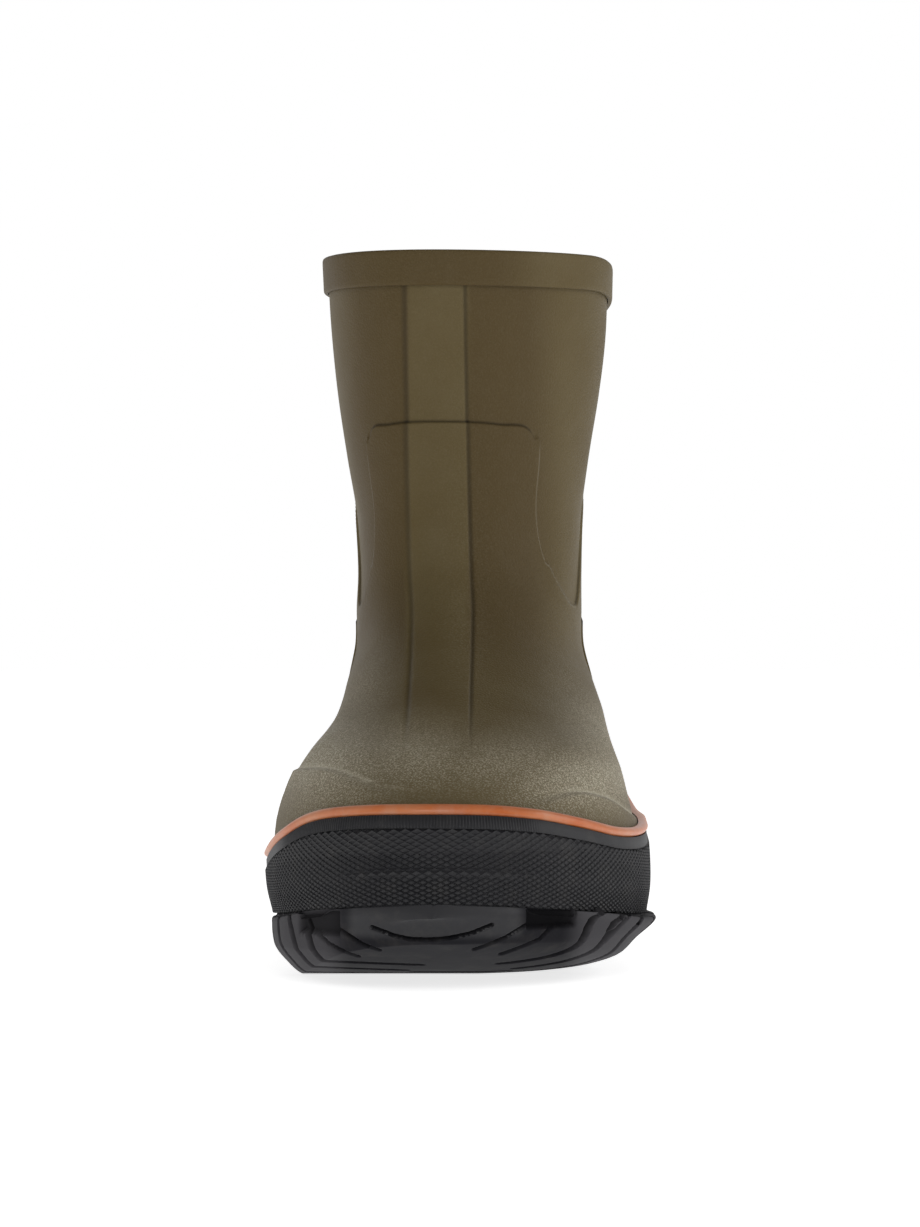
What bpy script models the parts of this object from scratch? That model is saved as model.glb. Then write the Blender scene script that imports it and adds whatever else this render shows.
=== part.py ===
"""Left rubber boot, ankle high, standing empty on its sole.

Metres, +Z up. The toe points to -Y and the inner side of the foot is -X. The origin lies on the ground,
under the middle of the boot's length. Every piece is worked out from one surface, the outside of the
upper, which is a stack of closed sections from the edge on the sole up to the collar.
"""
import bisect
import functools
import math

import bmesh
import bpy
from mathutils import Vector

# Driving sizes, in metres
BOOT_LENGTH = 0.300
BALL_WIDTH = 0.1120
WAIST_WIDTH = 0.0920
HEEL_WIDTH = 0.0830
ANKLE_WIDTH = 0.0708
COLLAR_WIDTH = 0.0908
FOOT_HEIGHT = 0.0980
SHAFT_HEIGHT = 0.2226
COLLAR_DROP = 0.0080
LEG_TURN = math.radians(14.0)
RIM_LEVEL_TO = 0.38
SOLE_AT_BALL = 0.0185
SOLE_AT_HEEL = 0.0280
SOLE_AT_TOE = 0.0256
TOE_SPRING = 0.0155
HEEL_SPRING = 0.0031

# Walls and layers
UPPER_WALL = 0.0026
LAYER_STEP = 0.0009
BAND_HEIGHT = 0.0100
BAND_THICKNESS = 0.0017
COUNTER_THICKNESS = 0.0008
TOE_CAP_STEP = 0.0011
STRIP_WIDTH = 0.0195
STRIP_GROOVE_WIDTH = 0.0016
STRIP_GROOVE_DEPTH = 0.0005
PIPING_HEIGHT = 0.0034
PIPING_THICKNESS = 0.0027
RAND_THICKNESS = 0.0026
RIB_STRIP_HEIGHT = 0.0026
RIB_STRIP_SET_BACK = 0.0005
INSOLE_THICKNESS = 0.0035
INSOLE_GAP = 0.0010
GROOVE_WIDTH = 0.0032
CLEARANCE = 0.0003
SLIVER = 0.00003

# Columns round the boot, the part of a column cut off the sole's two tips, facet rows between sections,
# and the smallest gap between two rows, as a share of the way up
COLUMNS = 46
END_TRIM = 0.3
ROWS_BETWEEN = (1, 2, 2, 2, 2, 2, 1, 1, 1, 1, 1, 1, 1, 1)
ROW_GAP = 0.003

# Share of the way up, at both ends of the upper, where offsets turn level
LEVEL_ENDS = 0.05

# How far a form that is cut reaches past its edge, as a share of SHAFT_HEIGHT
EDGE_MARGIN = 0.05

# Details of the layers: where the strip starts (share of FOOT_HEIGHT) and ends (share of the way up), the
# crown of the collar band and the flat base of the piping (shares of their thickness), and the ledge of the
# rib strip (share of its height)
STRIP_FROM = 0.76
STRIP_TO = 0.985
BAND_CROWN = 0.25
PIPING_BASE = 0.25
RIB_LEDGE = 0.9

# Places along the boot, as shares of its length from the toe
BALL_IN_AT = 0.290
BALL_OUT_AT = 0.360
WAIST_AT = 0.570
HEEL_AT = 0.830
SOLE_RISE = (0.370, 0.670)
TOE_SPRING_FROM = 0.310
HEEL_SPRING_FROM = 0.955
TOE_CAP_FADE = (0.350, 0.400)

# How sharply the sole's upper edge and the tread bend up towards the toe
SOLE_TOE_POWER = 1.6
TREAD_TOE_POWER = 1.8

# Sections of the foot, from the edge on the sole up to the instep.
# front and back: ends of the section, shares of BOOT_LENGTH from the toe.
# front_up and back_up: heights over the sole line, shares of FOOT_HEIGHT.
# nose and tail: lengths of the round ends, shares of BOOT_LENGTH.
# tip and rear: sideways places of the two ends, shares of BALL_WIDTH.
# ball, waist and heel: half widths on the inner and outer side, shares of their own widths.
# sag: how far the section follows the sole line between its ends.
FOOT_COLUMNS = ("front", "back", "front_up", "back_up", "nose", "tail", "tip", "rear", "ball_in", "ball_out",
                "waist_in", "waist_out", "heel_in", "heel_out", "sag")
FOOT_SECTIONS = (
    (0.0125, 0.9885, 0.000, 0.000, 0.29, 0.16, -0.065, 0.018, 0.462, 0.460, 0.418, 0.528, 0.458, 0.500, 1.00),
    (0.0115, 0.9920, 0.102, 0.102, 0.29, 0.16, -0.065, 0.018, 0.480, 0.471, 0.430, 0.540, 0.468, 0.510, 1.00),
    (0.0220, 0.9950, 0.230, 0.225, 0.29, 0.17, -0.064, 0.020, 0.482, 0.464, 0.420, 0.512, 0.462, 0.510, 0.60),
    (0.0560, 0.9930, 0.333, 0.327, 0.29, 0.17, -0.062, 0.023, 0.460, 0.444, 0.409, 0.487, 0.450, 0.510, 0.30),
    (0.1200, 0.9860, 0.450, 0.429, 0.29, 0.18, -0.060, 0.027, 0.428, 0.420, 0.400, 0.482, 0.431, 0.500, 0.15),
    (0.2330, 0.9750, 0.566, 0.520, 0.29, 0.20, -0.058, 0.032, 0.380, 0.396, 0.392, 0.480, 0.414, 0.490, 0.00),
    (0.3570, 0.9610, 0.686, 0.612, 0.29, 0.21, -0.055, 0.038, 0.352, 0.374, 0.386, 0.457, 0.400, 0.480, 0.00),
    (0.4500, 0.9430, 0.788, 0.714, 0.27, 0.22, -0.052, 0.044, 0.318, 0.353, 0.362, 0.427, 0.386, 0.460, 0.00),
)

# Sections of the leg, from the instep to the collar.
# up: height, share of the way from FOOT_HEIGHT to SHAFT_HEIGHT.
# drop: how far the back lies lower than the front, share of COLLAR_DROP.
# flare: how far the width has opened from ANKLE_WIDTH to COLLAR_WIDTH.
# inner and outer: half widths, shares of the width there.
LEG_COLUMNS = ("front", "back", "up", "drop", "flare", "nose", "tail", "tip", "rear", "inner", "outer")
LEG_SECTIONS = (
    (0.5130, 0.9260, 0.098, 0.10, 0.020, 0.220, 0.200, -0.051, 0.050, 0.460, 0.543),
    (0.5480, 0.9160, 0.195, 0.20, 0.000, 0.185, 0.184, -0.056, 0.056, 0.456, 0.546),
    (0.5610, 0.9110, 0.325, 0.32, 0.060, 0.176, 0.175, -0.060, 0.062, 0.462, 0.545),
    (0.5600, 0.9100, 0.488, 0.48, 0.310, 0.175, 0.175, -0.064, 0.067, 0.476, 0.542),
    (0.5520, 0.9110, 0.666, 0.66, 0.655, 0.180, 0.179, -0.068, 0.072, 0.475, 0.539),
    (0.5400, 0.9120, 0.829, 0.83, 0.880, 0.187, 0.185, -0.071, 0.076, 0.474, 0.536),
    (0.5290, 0.9110, 1.000, 1.00, 1.000, 0.192, 0.190, -0.073, 0.078, 0.474, 0.529),
)

# Height of the rand's top over the ground: place along the boot, inner and outer side (shares of FOOT_HEIGHT)
RAND_TOP = (
    (0.000, 0.535, 0.535),
    (0.045, 0.532, 0.530),
    (0.100, 0.512, 0.496),
    (0.160, 0.462, 0.464),
    (0.280, 0.388, 0.462),
    (0.400, 0.420, 0.500),
    (0.560, 0.545, 0.600),
    (0.700, 0.615, 0.626),
    (1.000, 0.632, 0.632),
)

# Upper edge of the raised foot layer from the side: place along the boot, height (share of SHAFT_HEIGHT)
LAYER_EDGE = (
    (0.500, 0.756), (0.573, 0.756), (0.600, 0.738), (0.610, 0.690), (0.612, 0.610), (0.622, 0.552),
    (0.640, 0.512), (0.667, 0.497), (0.692, 0.512), (0.722, 0.575), (0.765, 0.650), (0.830, 0.690),
    (0.960, 0.705),
)

# Edge of the heel counter from the side, from the rand up and back: place along the boot, height
COUNTER_EDGE = (
    (0.616, 0.250), (0.628, 0.330), (0.644, 0.390), (0.662, 0.432), (0.690, 0.452), (0.740, 0.470),
    (0.820, 0.500), (0.900, 0.515), (1.010, 0.520),
)

# Edge of the toe cap from the front: sideways place (share of BALL_WIDTH), height and softness (shares of
# FOOT_HEIGHT)
TOE_CAP_EDGE = (
    (-0.560, 0.590, 0.015), (-0.420, 0.632, 0.015), (-0.330, 0.638, 0.020), (-0.210, 0.600, 0.040),
    (-0.060, 0.575, 0.120), (0.110, 0.562, 0.120), (0.220, 0.566, 0.040), (0.310, 0.572, 0.020),
    (0.390, 0.545, 0.015), (0.470, 0.480, 0.015), (0.560, 0.420, 0.015),
)

# Underside of the plate between the lugs: place (share of half width), height (share of the sole's thickness)
PLATE_PROFILE = (
    (0.985, 0.84), (0.93, 0.68), (0.70, 0.48), (0.00, 0.42), (-0.70, 0.46), (-0.93, 0.62), (-0.985, 0.80),
)

# Where the lugs end inside the plate: height (share of the sole's thickness), place (share of half width)
LUG_ROOF = 0.90
LUG_ROOF_EDGE = 0.95

# Slanted grooves of the tread: place along the boot at the inner and at the outer end (shares of length), and
# place across where the groove starts (share of half the ball width). They all run out past the edge.
CHEVRONS = (
    (0.130, 0.075, 0.22), (0.180, 0.110, 0.30), (0.245, 0.165, 0.30), (0.315, 0.235, 0.30),
    (0.385, 0.310, 0.30), (0.455, 0.385, 0.30),
)
HEEL_GROOVES = ((0.775, 0.735, 0.16), (0.840, 0.800, 0.16), (0.905, 0.870, 0.16))
CENTRE_GROOVES = (0.205, 0.285, 0.365, 0.445)
CENTRE_GROOVE_HALF = 0.24
GROOVE_REACH = 1.25
ARCH = (0.505, 0.690)

# Tread across the boot: place (share of half width), rise over the ground under the ball and under the heel
# (shares of the sole's thickness). The outer side of the forefoot rolls up.
TREAD_PROFILE = (
    (-1.00, 0.66, 0.60), (-0.985, 0.46, 0.30), (-0.925, 0.22, 0.08), (-0.84, 0.00, 0.00), (0.10, 0.00, 0.00),
    (0.50, 0.07, 0.00), (0.72, 0.18, 0.00), (0.86, 0.34, 0.02), (0.94, 0.58, 0.12), (1.05, 0.85, 0.60),
)

COLOURS = {
    "upper": (0.105, 0.082, 0.038, 1.0),
    "piping": (0.560, 0.130, 0.022, 1.0),
    "black": (0.012, 0.012, 0.014, 1.0),
    "insole": (0.035, 0.033, 0.030, 1.0),
}


def clear_scene():
    for thing in list(bpy.data.objects):
        bpy.data.objects.remove(thing, do_unlink=True)


def new_collection(name):
    collection = bpy.data.collections.new(name)
    bpy.context.scene.collection.children.link(collection)
    return collection


def material(name, colour, roughness):
    made = bpy.data.materials.new(name)
    made.use_nodes = True
    shader = made.node_tree.nodes["Principled BSDF"]
    shader.inputs["Base Color"].default_value = colour
    shader.inputs["Roughness"].default_value = roughness
    shader.inputs["Metallic"].default_value = 0.0
    return made


def mix(low, high, share):
    return low + (high - low) * share


def smooth(share):
    share = min(max(share, 0.0), 1.0)
    return share * share * (3.0 - 2.0 * share)


def along(share):
    """Y of a place given as a share of the length from the toe."""
    return (share - 0.5) * BOOT_LENGTH


def share_along(y):
    return y / BOOT_LENGTH + 0.5


def curve_value(knots, values, x):
    """Smooth curve through values at knots, held level past both ends."""
    if x <= knots[0]:
        return values[0]
    if x >= knots[-1]:
        return values[-1]
    i = next(k for k in range(1, len(knots)) if x <= knots[k]) - 1
    span = knots[i + 1] - knots[i]
    slope = (values[i + 1] - values[i]) / span
    before = (values[i] - values[i - 1]) / (knots[i] - knots[i - 1]) if i > 0 else slope
    last = i + 2 >= len(knots)
    after = slope if last else (values[i + 2] - values[i + 1]) / (knots[i + 2] - knots[i + 1])
    start = 0.5 * (slope + before)
    end = 0.5 * (slope + after)
    t = (x - knots[i]) / span
    return ((2 * t**3 - 3 * t**2 + 1) * values[i] + (t**3 - 2 * t**2 + t) * span * start
            + (-2 * t**3 + 3 * t**2) * values[i + 1] + (t**3 - t**2) * span * end)


def sole_line(y):
    """Height of the sole's upper edge: highest at the heel, lowest at the ball."""
    share = share_along(y)
    height = mix(SOLE_AT_BALL, SOLE_AT_HEEL, smooth((share - SOLE_RISE[0]) / (SOLE_RISE[1] - SOLE_RISE[0])))
    toe = max(0.0, (BALL_IN_AT - share) / BALL_IN_AT)
    return height + (SOLE_AT_TOE - SOLE_AT_BALL) * toe**SOLE_TOE_POWER


def ground_line(y):
    """Height of the tread over the ground: level under ball and heel, raised at the toe."""
    share = share_along(y)
    toe = max(0.0, (TOE_SPRING_FROM - share) / TOE_SPRING_FROM)
    heel = max(0.0, (share - HEEL_SPRING_FROM) / (1.0 - HEEL_SPRING_FROM))
    return TOE_SPRING * toe**TREAD_TOE_POWER + HEEL_SPRING * heel**2


def make_sections():
    """All sections in metres, each a dictionary, from the sole up."""
    sections = []
    for row in FOOT_SECTIONS:
        s = dict(zip(FOOT_COLUMNS, row))
        front = along(s["front"])
        back = along(s["back"])
        sections.append({
            "front": front, "back": back,
            "front_z": s["front_up"] * FOOT_HEIGHT + sole_line(front) + CLEARANCE,
            "back_z": s["back_up"] * FOOT_HEIGHT + sole_line(back) + CLEARANCE,
            "nose": s["nose"] * BOOT_LENGTH, "tail": s["tail"] * BOOT_LENGTH,
            "tip": s["tip"] * BALL_WIDTH, "rear": s["rear"] * BALL_WIDTH,
            "ball_in": s["ball_in"] * BALL_WIDTH, "ball_out": s["ball_out"] * BALL_WIDTH,
            "waist_in": s["waist_in"] * WAIST_WIDTH, "waist_out": s["waist_out"] * WAIST_WIDTH,
            "heel_in": s["heel_in"] * HEEL_WIDTH, "heel_out": s["heel_out"] * HEEL_WIDTH,
            "sag": s["sag"], "drop": 0.0,
        })
    for row in LEG_SECTIONS:
        s = dict(zip(LEG_COLUMNS, row))
        width = mix(ANKLE_WIDTH, COLLAR_WIDTH, s["flare"])
        height = mix(FOOT_HEIGHT, SHAFT_HEIGHT, s["up"])
        inner = s["inner"] * width
        outer = s["outer"] * width
        sections.append({
            "front": along(s["front"]), "back": along(s["back"]),
            "front_z": height, "back_z": height,
            "nose": s["nose"] * BOOT_LENGTH, "tail": s["tail"] * BOOT_LENGTH,
            "tip": s["tip"] * BALL_WIDTH, "rear": s["rear"] * BALL_WIDTH,
            "ball_in": inner, "ball_out": outer, "waist_in": inner, "waist_out": outer,
            "heel_in": inner, "heel_out": outer, "sag": 0.0, "drop": s["drop"] * COLLAR_DROP,
        })
    return sections


SECTIONS = make_sections()
KEYS = tuple(SECTIONS[0])


def section_knots():
    """Place of each section up the boot, from 0 to 1, by the distance between their ends."""
    places = [0.0]
    for low, high in zip(SECTIONS, SECTIONS[1:]):
        front = math.hypot(high["front"] - low["front"], high["front_z"] - low["front_z"])
        back = math.hypot(high["back"] - low["back"], high["back_z"] - low["back_z"])
        places.append(places[-1] + 0.6 * front + 0.4 * back)
    return [place / places[-1] for place in places]


KNOTS = section_knots()
COLUMN_VALUES = {key: [section[key] for section in SECTIONS] for key in KEYS}


@functools.lru_cache(maxsize=None)
def section_at(v):
    return {key: curve_value(KNOTS, COLUMN_VALUES[key], v) for key in KEYS}


def round_end(share):
    share = min(max(share, 0.0), 1.0)
    return math.sqrt(max(0.0, 1.0 - (1.0 - share) ** 2))


def section_point(s, theta):
    """Point of one section. theta is 0 at the front, and runs by the outer side (+X) to the back."""
    u = 0.5 * (1.0 - math.cos(theta))
    y = mix(s["front"], s["back"], u)
    outer = math.sin(theta) >= 0.0
    side = "out" if outer else "in"
    ball = along(BALL_OUT_AT if outer else BALL_IN_AT)
    width = curve_value((ball, along(WAIST_AT), along(HEEL_AT)),
                        (s["ball_" + side], s["waist_" + side], s["heel_" + side]), y)
    ahead = y - s["front"]
    behind = s["back"] - y
    half = width * round_end(ahead / s["nose"]) * round_end(behind / s["tail"])
    near_front = max(0.0, 1.0 - ahead / s["nose"])
    near_back = max(0.0, 1.0 - behind / s["tail"])
    x = s["tip"] * near_front**2 + s["rear"] * near_back**2 + (half if outer else -half)
    level = mix(sole_line(s["front"]), sole_line(s["back"]), u)
    behind_side = 0.5 * (1.0 - math.cos(theta + LEG_TURN))
    z = mix(s["front_z"], s["back_z"], u) + s["sag"] * (sole_line(y) - level)
    z -= s["drop"] * smooth((behind_side - RIM_LEVEL_TO) / (1.0 - RIM_LEVEL_TO))
    return Vector((x, y, z))


def toe_cap_relief(point):
    """Height of the toe cap's step at a point of the upper."""
    across = [row[0] * BALL_WIDTH for row in TOE_CAP_EDGE]
    edge = curve_value(across, [row[1] * FOOT_HEIGHT for row in TOE_CAP_EDGE], point.x)
    soft = curve_value(across, [row[2] * FOOT_HEIGHT for row in TOE_CAP_EDGE], point.x)
    fore = smooth((TOE_CAP_FADE[1] - share_along(point.y)) / (TOE_CAP_FADE[1] - TOE_CAP_FADE[0]))
    return TOE_CAP_STEP * fore * smooth((edge - point.z) / soft)


@functools.lru_cache(maxsize=None)
def form_point(theta, v, offset=0.0, relief=False):
    """Point of the upper's outside at column theta and height v, moved out by offset along its normal."""
    step = 0.004
    section = section_at(v)
    point = section_point(section, theta)
    round_way = section_point(section, theta + step) - section_point(section, theta - step)
    high = min(1.0, v + step)
    low = max(0.0, v - step)
    up_way = section_point(section_at(high), theta) - section_point(section_at(low), theta)
    normal = round_way.cross(up_way)
    flat = 1.0 - smooth(v / LEVEL_ENDS) * smooth((1.0 - v) / LEVEL_ENDS)
    normal.normalize()
    normal.z *= 1.0 - flat
    normal.normalize()
    if relief:
        offset += toe_cap_relief(point)
    return point + offset * normal


def make_rows():
    rows = [0.0]
    for low, high, count in zip(KNOTS, KNOTS[1:], ROWS_BETWEEN):
        rows += [mix(low, high, (i + 1) / count) for i in range(count)]
    return rows


ROWS = make_rows()


def facet_point(theta, v, offset=0.0, relief=True):
    """The same point on the straight facets between the upper's own rows, so that all pieces lie parallel."""
    v = min(max(v, 0.0), 1.0)
    row = min(bisect.bisect_right(ROWS, v), len(ROWS) - 1)
    low = form_point(theta, ROWS[row - 1], offset, relief)
    high = form_point(theta, ROWS[row], offset, relief)
    return low.lerp(high, (v - ROWS[row - 1]) / (ROWS[row] - ROWS[row - 1]))


def v_at_height(theta, height):
    """Place up the boot where column theta reaches a height."""
    low = 0.0
    high = 1.0
    for _ in range(26):
        middle = 0.5 * (low + high)
        if facet_point(theta, middle).z < height:
            low = middle
        else:
            high = middle
    return 0.5 * (low + high)


def column_angles(count=COLUMNS):
    return [2.0 * math.pi * i / count for i in range(count)]


def rand_top(theta, y):
    share = share_along(y)
    places = [row[0] for row in RAND_TOP]
    inner = curve_value(places, [row[1] for row in RAND_TOP], share)
    outer = curve_value(places, [row[2] for row in RAND_TOP], share)
    return FOOT_HEIGHT * mix(inner, outer, smooth(0.5 + math.sin(theta)))


def top_of_rand_at(theta):
    """Height of the rand's top edge on column theta, found where the column crosses it."""
    height = rand_top(theta, facet_point(theta, 0.1).y)
    for _ in range(6):
        height = rand_top(theta, facet_point(theta, v_at_height(theta, height)).y)
    return height


def mesh_object(name, bm, collection, skin):
    bmesh.ops.remove_doubles(bm, verts=bm.verts, dist=1e-6)
    bmesh.ops.recalc_face_normals(bm, faces=bm.faces)
    mesh = bpy.data.meshes.new(name)
    bm.to_mesh(mesh)
    bm.free()
    thing = bpy.data.objects.new(name, mesh)
    collection.objects.link(thing)
    if skin is not None:
        mesh.materials.append(skin)
    mesh.shade_smooth()
    mesh.set_sharp_from_angle(angle=math.radians(35.0))
    return thing


def loft(bm, loops, closed_round):
    """Quads between neighbouring closed loops of points, with flat ends unless closed_round."""
    rings = [[bm.verts.new(point) for point in loop] for loop in loops]
    pairs = list(zip(rings, rings[1:]))
    if closed_round:
        pairs.append((rings[-1], rings[0]))
    for first, second in pairs:
        for i, a in enumerate(first):
            b = first[(i + 1) % len(first)]
            c = second[(i + 1) % len(first)]
            d = second[i]
            rising = b.co.z + c.co.z >= a.co.z + d.co.z
            for corners in ((a, b, c), (a, c, d)) if rising else ((a, b, d), (b, c, d)):
                bm.faces.new(corners)
    if not closed_round:
        bm.faces.new(rings[0])
        bm.faces.new(reversed(rings[-1]))


def ring_piece(name, section, collection, skin):
    """A piece that runs all round the boot: section(theta) gives its closed outline on one column."""
    bm = bmesh.new()
    loft(bm, [section(theta) for theta in column_angles()], closed_round=True)
    return mesh_object(name, bm, collection, skin)


def wall_section(theta, heights, inside, outside, relief=False):
    """Outline of a wall between two offsets of the upper's form, up its outside and down its inside."""
    out = [facet_point(theta, v, outside, relief) for v in heights]
    back = [facet_point(theta, v, inside, False) for v in reversed(heights)]
    return out + back


def row_heights(low=0.0, high=1.0):
    """The upper's own rows between two places, with both ends."""
    return [low] + [v for v in ROWS if low + ROW_GAP < v < high - ROW_GAP] + [high]


def seated(point):
    """The same point, lowered or raised to lie just over the sole line."""
    return Vector((point.x, point.y, sole_line(point.y) + CLEARANCE))


def prism(name, outline, axis, low, high, collection):
    """Straight prism through a flat outline of (first, second) places, along X or along Z."""
    bm = bmesh.new()
    loops = []
    for reach in (low, high):
        if axis == "X":
            loops.append([Vector((reach, a, b)) for a, b in outline])
        else:
            loops.append([Vector((a, b, reach)) for a, b in outline])
    loft(bm, loops, closed_round=False)
    cutter = mesh_object(name, bm, collection, None)
    cutter.hide_render = True
    cutter.display_type = "WIRE"
    return cutter


def boolean(target, other, operation):
    modifier = target.modifiers.new(other.name, "BOOLEAN")
    modifier.operation = operation
    modifier.solver = "EXACT"
    modifier.object = other


def merge_slivers(target):
    """Merges points that the cuts leave closer together than any real detail."""
    modifier = target.modifiers.new("slivers", "WELD")
    modifier.merge_threshold = SLIVER


def side_edge(table, low):
    """Outline from the side, as (y, z), of all that lies under an edge."""
    edge = [(along(place), height * SHAFT_HEIGHT) for place, height in table]
    return [(edge[0][0] - BOOT_LENGTH, edge[0][1])] + edge + [
        (BOOT_LENGTH, edge[-1][1]), (BOOT_LENGTH, low), (-BOOT_LENGTH, low)]


def strip_angle(v, side):
    """Column where the front strip's edge lies: half the strip's width to one side of the front line."""
    section = section_at(v)
    front = section_point(section, 0.0)
    low = 0.0
    high = 0.9
    for _ in range(24):
        middle = 0.5 * (low + high)
        if (section_point(section, side * middle) - front).length < 0.5 * STRIP_WIDTH:
            low = middle
        else:
            high = middle
    return side * 0.5 * (low + high)


def make_strip_groove(side, cutters):
    """Narrow wedge that runs down the shaft at the edge of the front strip."""
    bm = bmesh.new()
    loops = []
    edge = v_at_height(0.0, LAYER_EDGE[0][1] * SHAFT_HEIGHT)
    start = v_at_height(0.0, STRIP_FROM * FOOT_HEIGHT)
    for v in sorted(row_heights(start, STRIP_TO) + [edge - ROW_GAP, edge + ROW_GAP]):
        theta = strip_angle(v, side)
        middle = facet_point(theta, v)
        outward = (facet_point(theta, v, 0.001) - middle).normalized()
        sideways = (facet_point(theta + 0.02, v) - facet_point(theta - 0.02, v)).normalized()
        deep = middle - outward * (STRIP_GROOVE_DEPTH - (LAYER_STEP if v < edge else 0.0))
        high = middle + outward * (LAYER_STEP + STRIP_GROOVE_WIDTH)
        loops.append([deep, high + sideways * STRIP_GROOVE_WIDTH, high - sideways * STRIP_GROOVE_WIDTH])
    loft(bm, loops, closed_round=False)
    return mesh_object("strip_groove_" + ("outer" if side > 0 else "inner"), bm, cutters, None)


def make_upper(parts, cutters, skin):
    """Hollow upper: one wall with the raised foot layer as a step in it and the front strip's grooves."""
    upper = ring_piece("upper", lambda theta: wall_section(theta, row_heights(), -UPPER_WALL, 0.0, True),
                       parts, skin)
    top = v_at_height(0.0, (LAYER_EDGE[0][1] + EDGE_MARGIN) * SHAFT_HEIGHT)
    layer = ring_piece("foot_layer_form", lambda theta: wall_section(
        theta, row_heights(0.0, top), -0.5 * UPPER_WALL, LAYER_STEP, True), cutters, None)
    outline = side_edge(LAYER_EDGE, -SOLE_AT_HEEL)
    boolean(layer, prism("layer_edge", outline, "X", -BALL_WIDTH, BALL_WIDTH, cutters), "INTERSECT")
    boolean(upper, layer, "UNION")
    for side in (-1, 1):
        boolean(upper, make_strip_groove(side, cutters), "DIFFERENCE")
    merge_slivers(upper)
    return upper


def make_collar_band(parts, skin):
    """Raised band round the collar, cut between two larger forms of the upper."""
    low = 1.0 - BAND_HEIGHT / (SHAFT_HEIGHT - FOOT_HEIGHT) * (1.0 - v_at_height(0.0, FOOT_HEIGHT))

    def section(theta):
        rows = row_heights(low, 1.0)
        points = wall_section(theta, rows, CLEARANCE, BAND_THICKNESS)
        crown = facet_point(theta, 1.0, 0.5 * BAND_THICKNESS)
        crown.z += BAND_CROWN * BAND_THICKNESS
        return points[:len(rows)] + [crown] + points[len(rows):]

    return ring_piece("collar_band", section, parts, skin)


def make_heel_counter(parts, cutters, skin):
    """Heel counter: a shell between two larger forms of the upper, trimmed at its edge and over the rand."""
    inside = LAYER_STEP + CLEARANCE
    rows = row_heights(0.0, v_at_height(math.pi, (COUNTER_EDGE[-1][1] + EDGE_MARGIN) * SHAFT_HEIGHT))

    def section(theta):
        return wall_section(theta, rows, inside, inside + COUNTER_THICKNESS)

    def rand_zone(theta):
        top = v_at_height(theta, top_of_rand_at(theta) + CLEARANCE)
        levels = [0.0] + [min(v, top) for v in (0.5 * top, top)]
        return wall_section(theta, levels, -UPPER_WALL, PIPING_THICKNESS + COUNTER_THICKNESS)

    counter = ring_piece("heel_counter", section, parts, skin)
    outline = [(along(place), height * SHAFT_HEIGHT) for place, height in COUNTER_EDGE]
    outline = [(outline[0][0], 0.0)] + outline + [(BOOT_LENGTH, outline[-1][1]), (BOOT_LENGTH, 0.0)]
    boolean(counter, prism("counter_edge", outline, "X", -BALL_WIDTH, BALL_WIDTH, cutters), "INTERSECT")
    boolean(counter, ring_piece("rand_zone", rand_zone, cutters, None), "DIFFERENCE")
    return counter


def make_rand(parts, skin):
    """Black rubber wall round the foot, with the ribbed strip set back along its top."""
    inside = LAYER_STEP + CLEARANCE

    def section(theta):
        top = top_of_rand_at(theta) - PIPING_HEIGHT - CLEARANCE
        step = v_at_height(theta, top - RIB_STRIP_HEIGHT)
        ledge = v_at_height(theta, top - RIB_LEDGE * RIB_STRIP_HEIGHT)
        high = v_at_height(theta, top)
        outside = inside + RAND_THICKNESS
        levels = [min(v, step - ROW_GAP * (3 - i) / 3.0) for i, v in enumerate(ROWS[1:4])] + [step]
        out = [seated(facet_point(theta, 0.0, outside))]
        out += [facet_point(theta, v, outside) for v in levels]
        out += [facet_point(theta, v, outside - RIB_STRIP_SET_BACK) for v in (ledge, high)]
        inner = [facet_point(theta, v, inside) for v in [high] + levels[-2::-1]]
        return out + inner + [seated(facet_point(theta, 0.0, inside))]

    return ring_piece("rand", section, parts, skin)


def make_piping(parts, skin):
    """Round-faced orange piping between the rand and the upper."""
    def section(theta):
        top = top_of_rand_at(theta)
        inside = LAYER_STEP + CLEARANCE
        points = []
        for k in range(5):
            turn = math.pi * k / 4.0
            height = top - 0.5 * PIPING_HEIGHT * (1.0 + math.cos(turn))
            reach = inside + PIPING_THICKNESS * mix(PIPING_BASE, 1.0, math.sin(turn))
            points.append(facet_point(theta, v_at_height(theta, height), reach))
        for height in (top, top - 0.5 * PIPING_HEIGHT, top - PIPING_HEIGHT):
            points.append(facet_point(theta, v_at_height(theta, height), inside))
        return points

    return ring_piece("piping", section, parts, skin)


def sole_outline(reach, v):
    """Half widths of the sole along the boot: (y, inner x, outer x) on each pair of columns."""
    rows = []
    half = COLUMNS // 2
    for i in range(half + 1):
        theta = math.pi * min(max(i, END_TRIM), half - END_TRIM) / half
        outer = facet_point(theta, v, reach, reach > 0.0)
        inner = facet_point(-theta, v, reach, reach > 0.0)
        rows.append((0.5 * (outer.y + inner.y), inner.x, outer.x))
    return rows


def slab(name, rows, profile, collection, skin):
    """Solid along the boot: profile(y) gives (share of half width, height) round one slice."""
    bm = bmesh.new()
    loops = []
    for y, inner, outer in rows:
        middle = 0.5 * (inner + outer)
        half = 0.5 * (outer - inner)
        loops.append([Vector((middle + half * share, y, z)) for share, z in profile(y)])
    loft(bm, loops, closed_round=False)
    return mesh_object(name, bm, collection, skin)


def groove(name, start, end, cutters):
    """Straight groove of the tread between two places on the ground plan."""
    start = Vector(start)
    end = Vector(end)
    way = (end - start).normalized()
    across = Vector((-way.y, way.x)) * 0.5 * GROOVE_WIDTH
    outline = [(start + across)[:], (end + across)[:], (end - across)[:], (start - across)[:]]
    return prism(name, outline, "Z", -SOLE_AT_BALL, SOLE_AT_HEEL, cutters)


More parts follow.
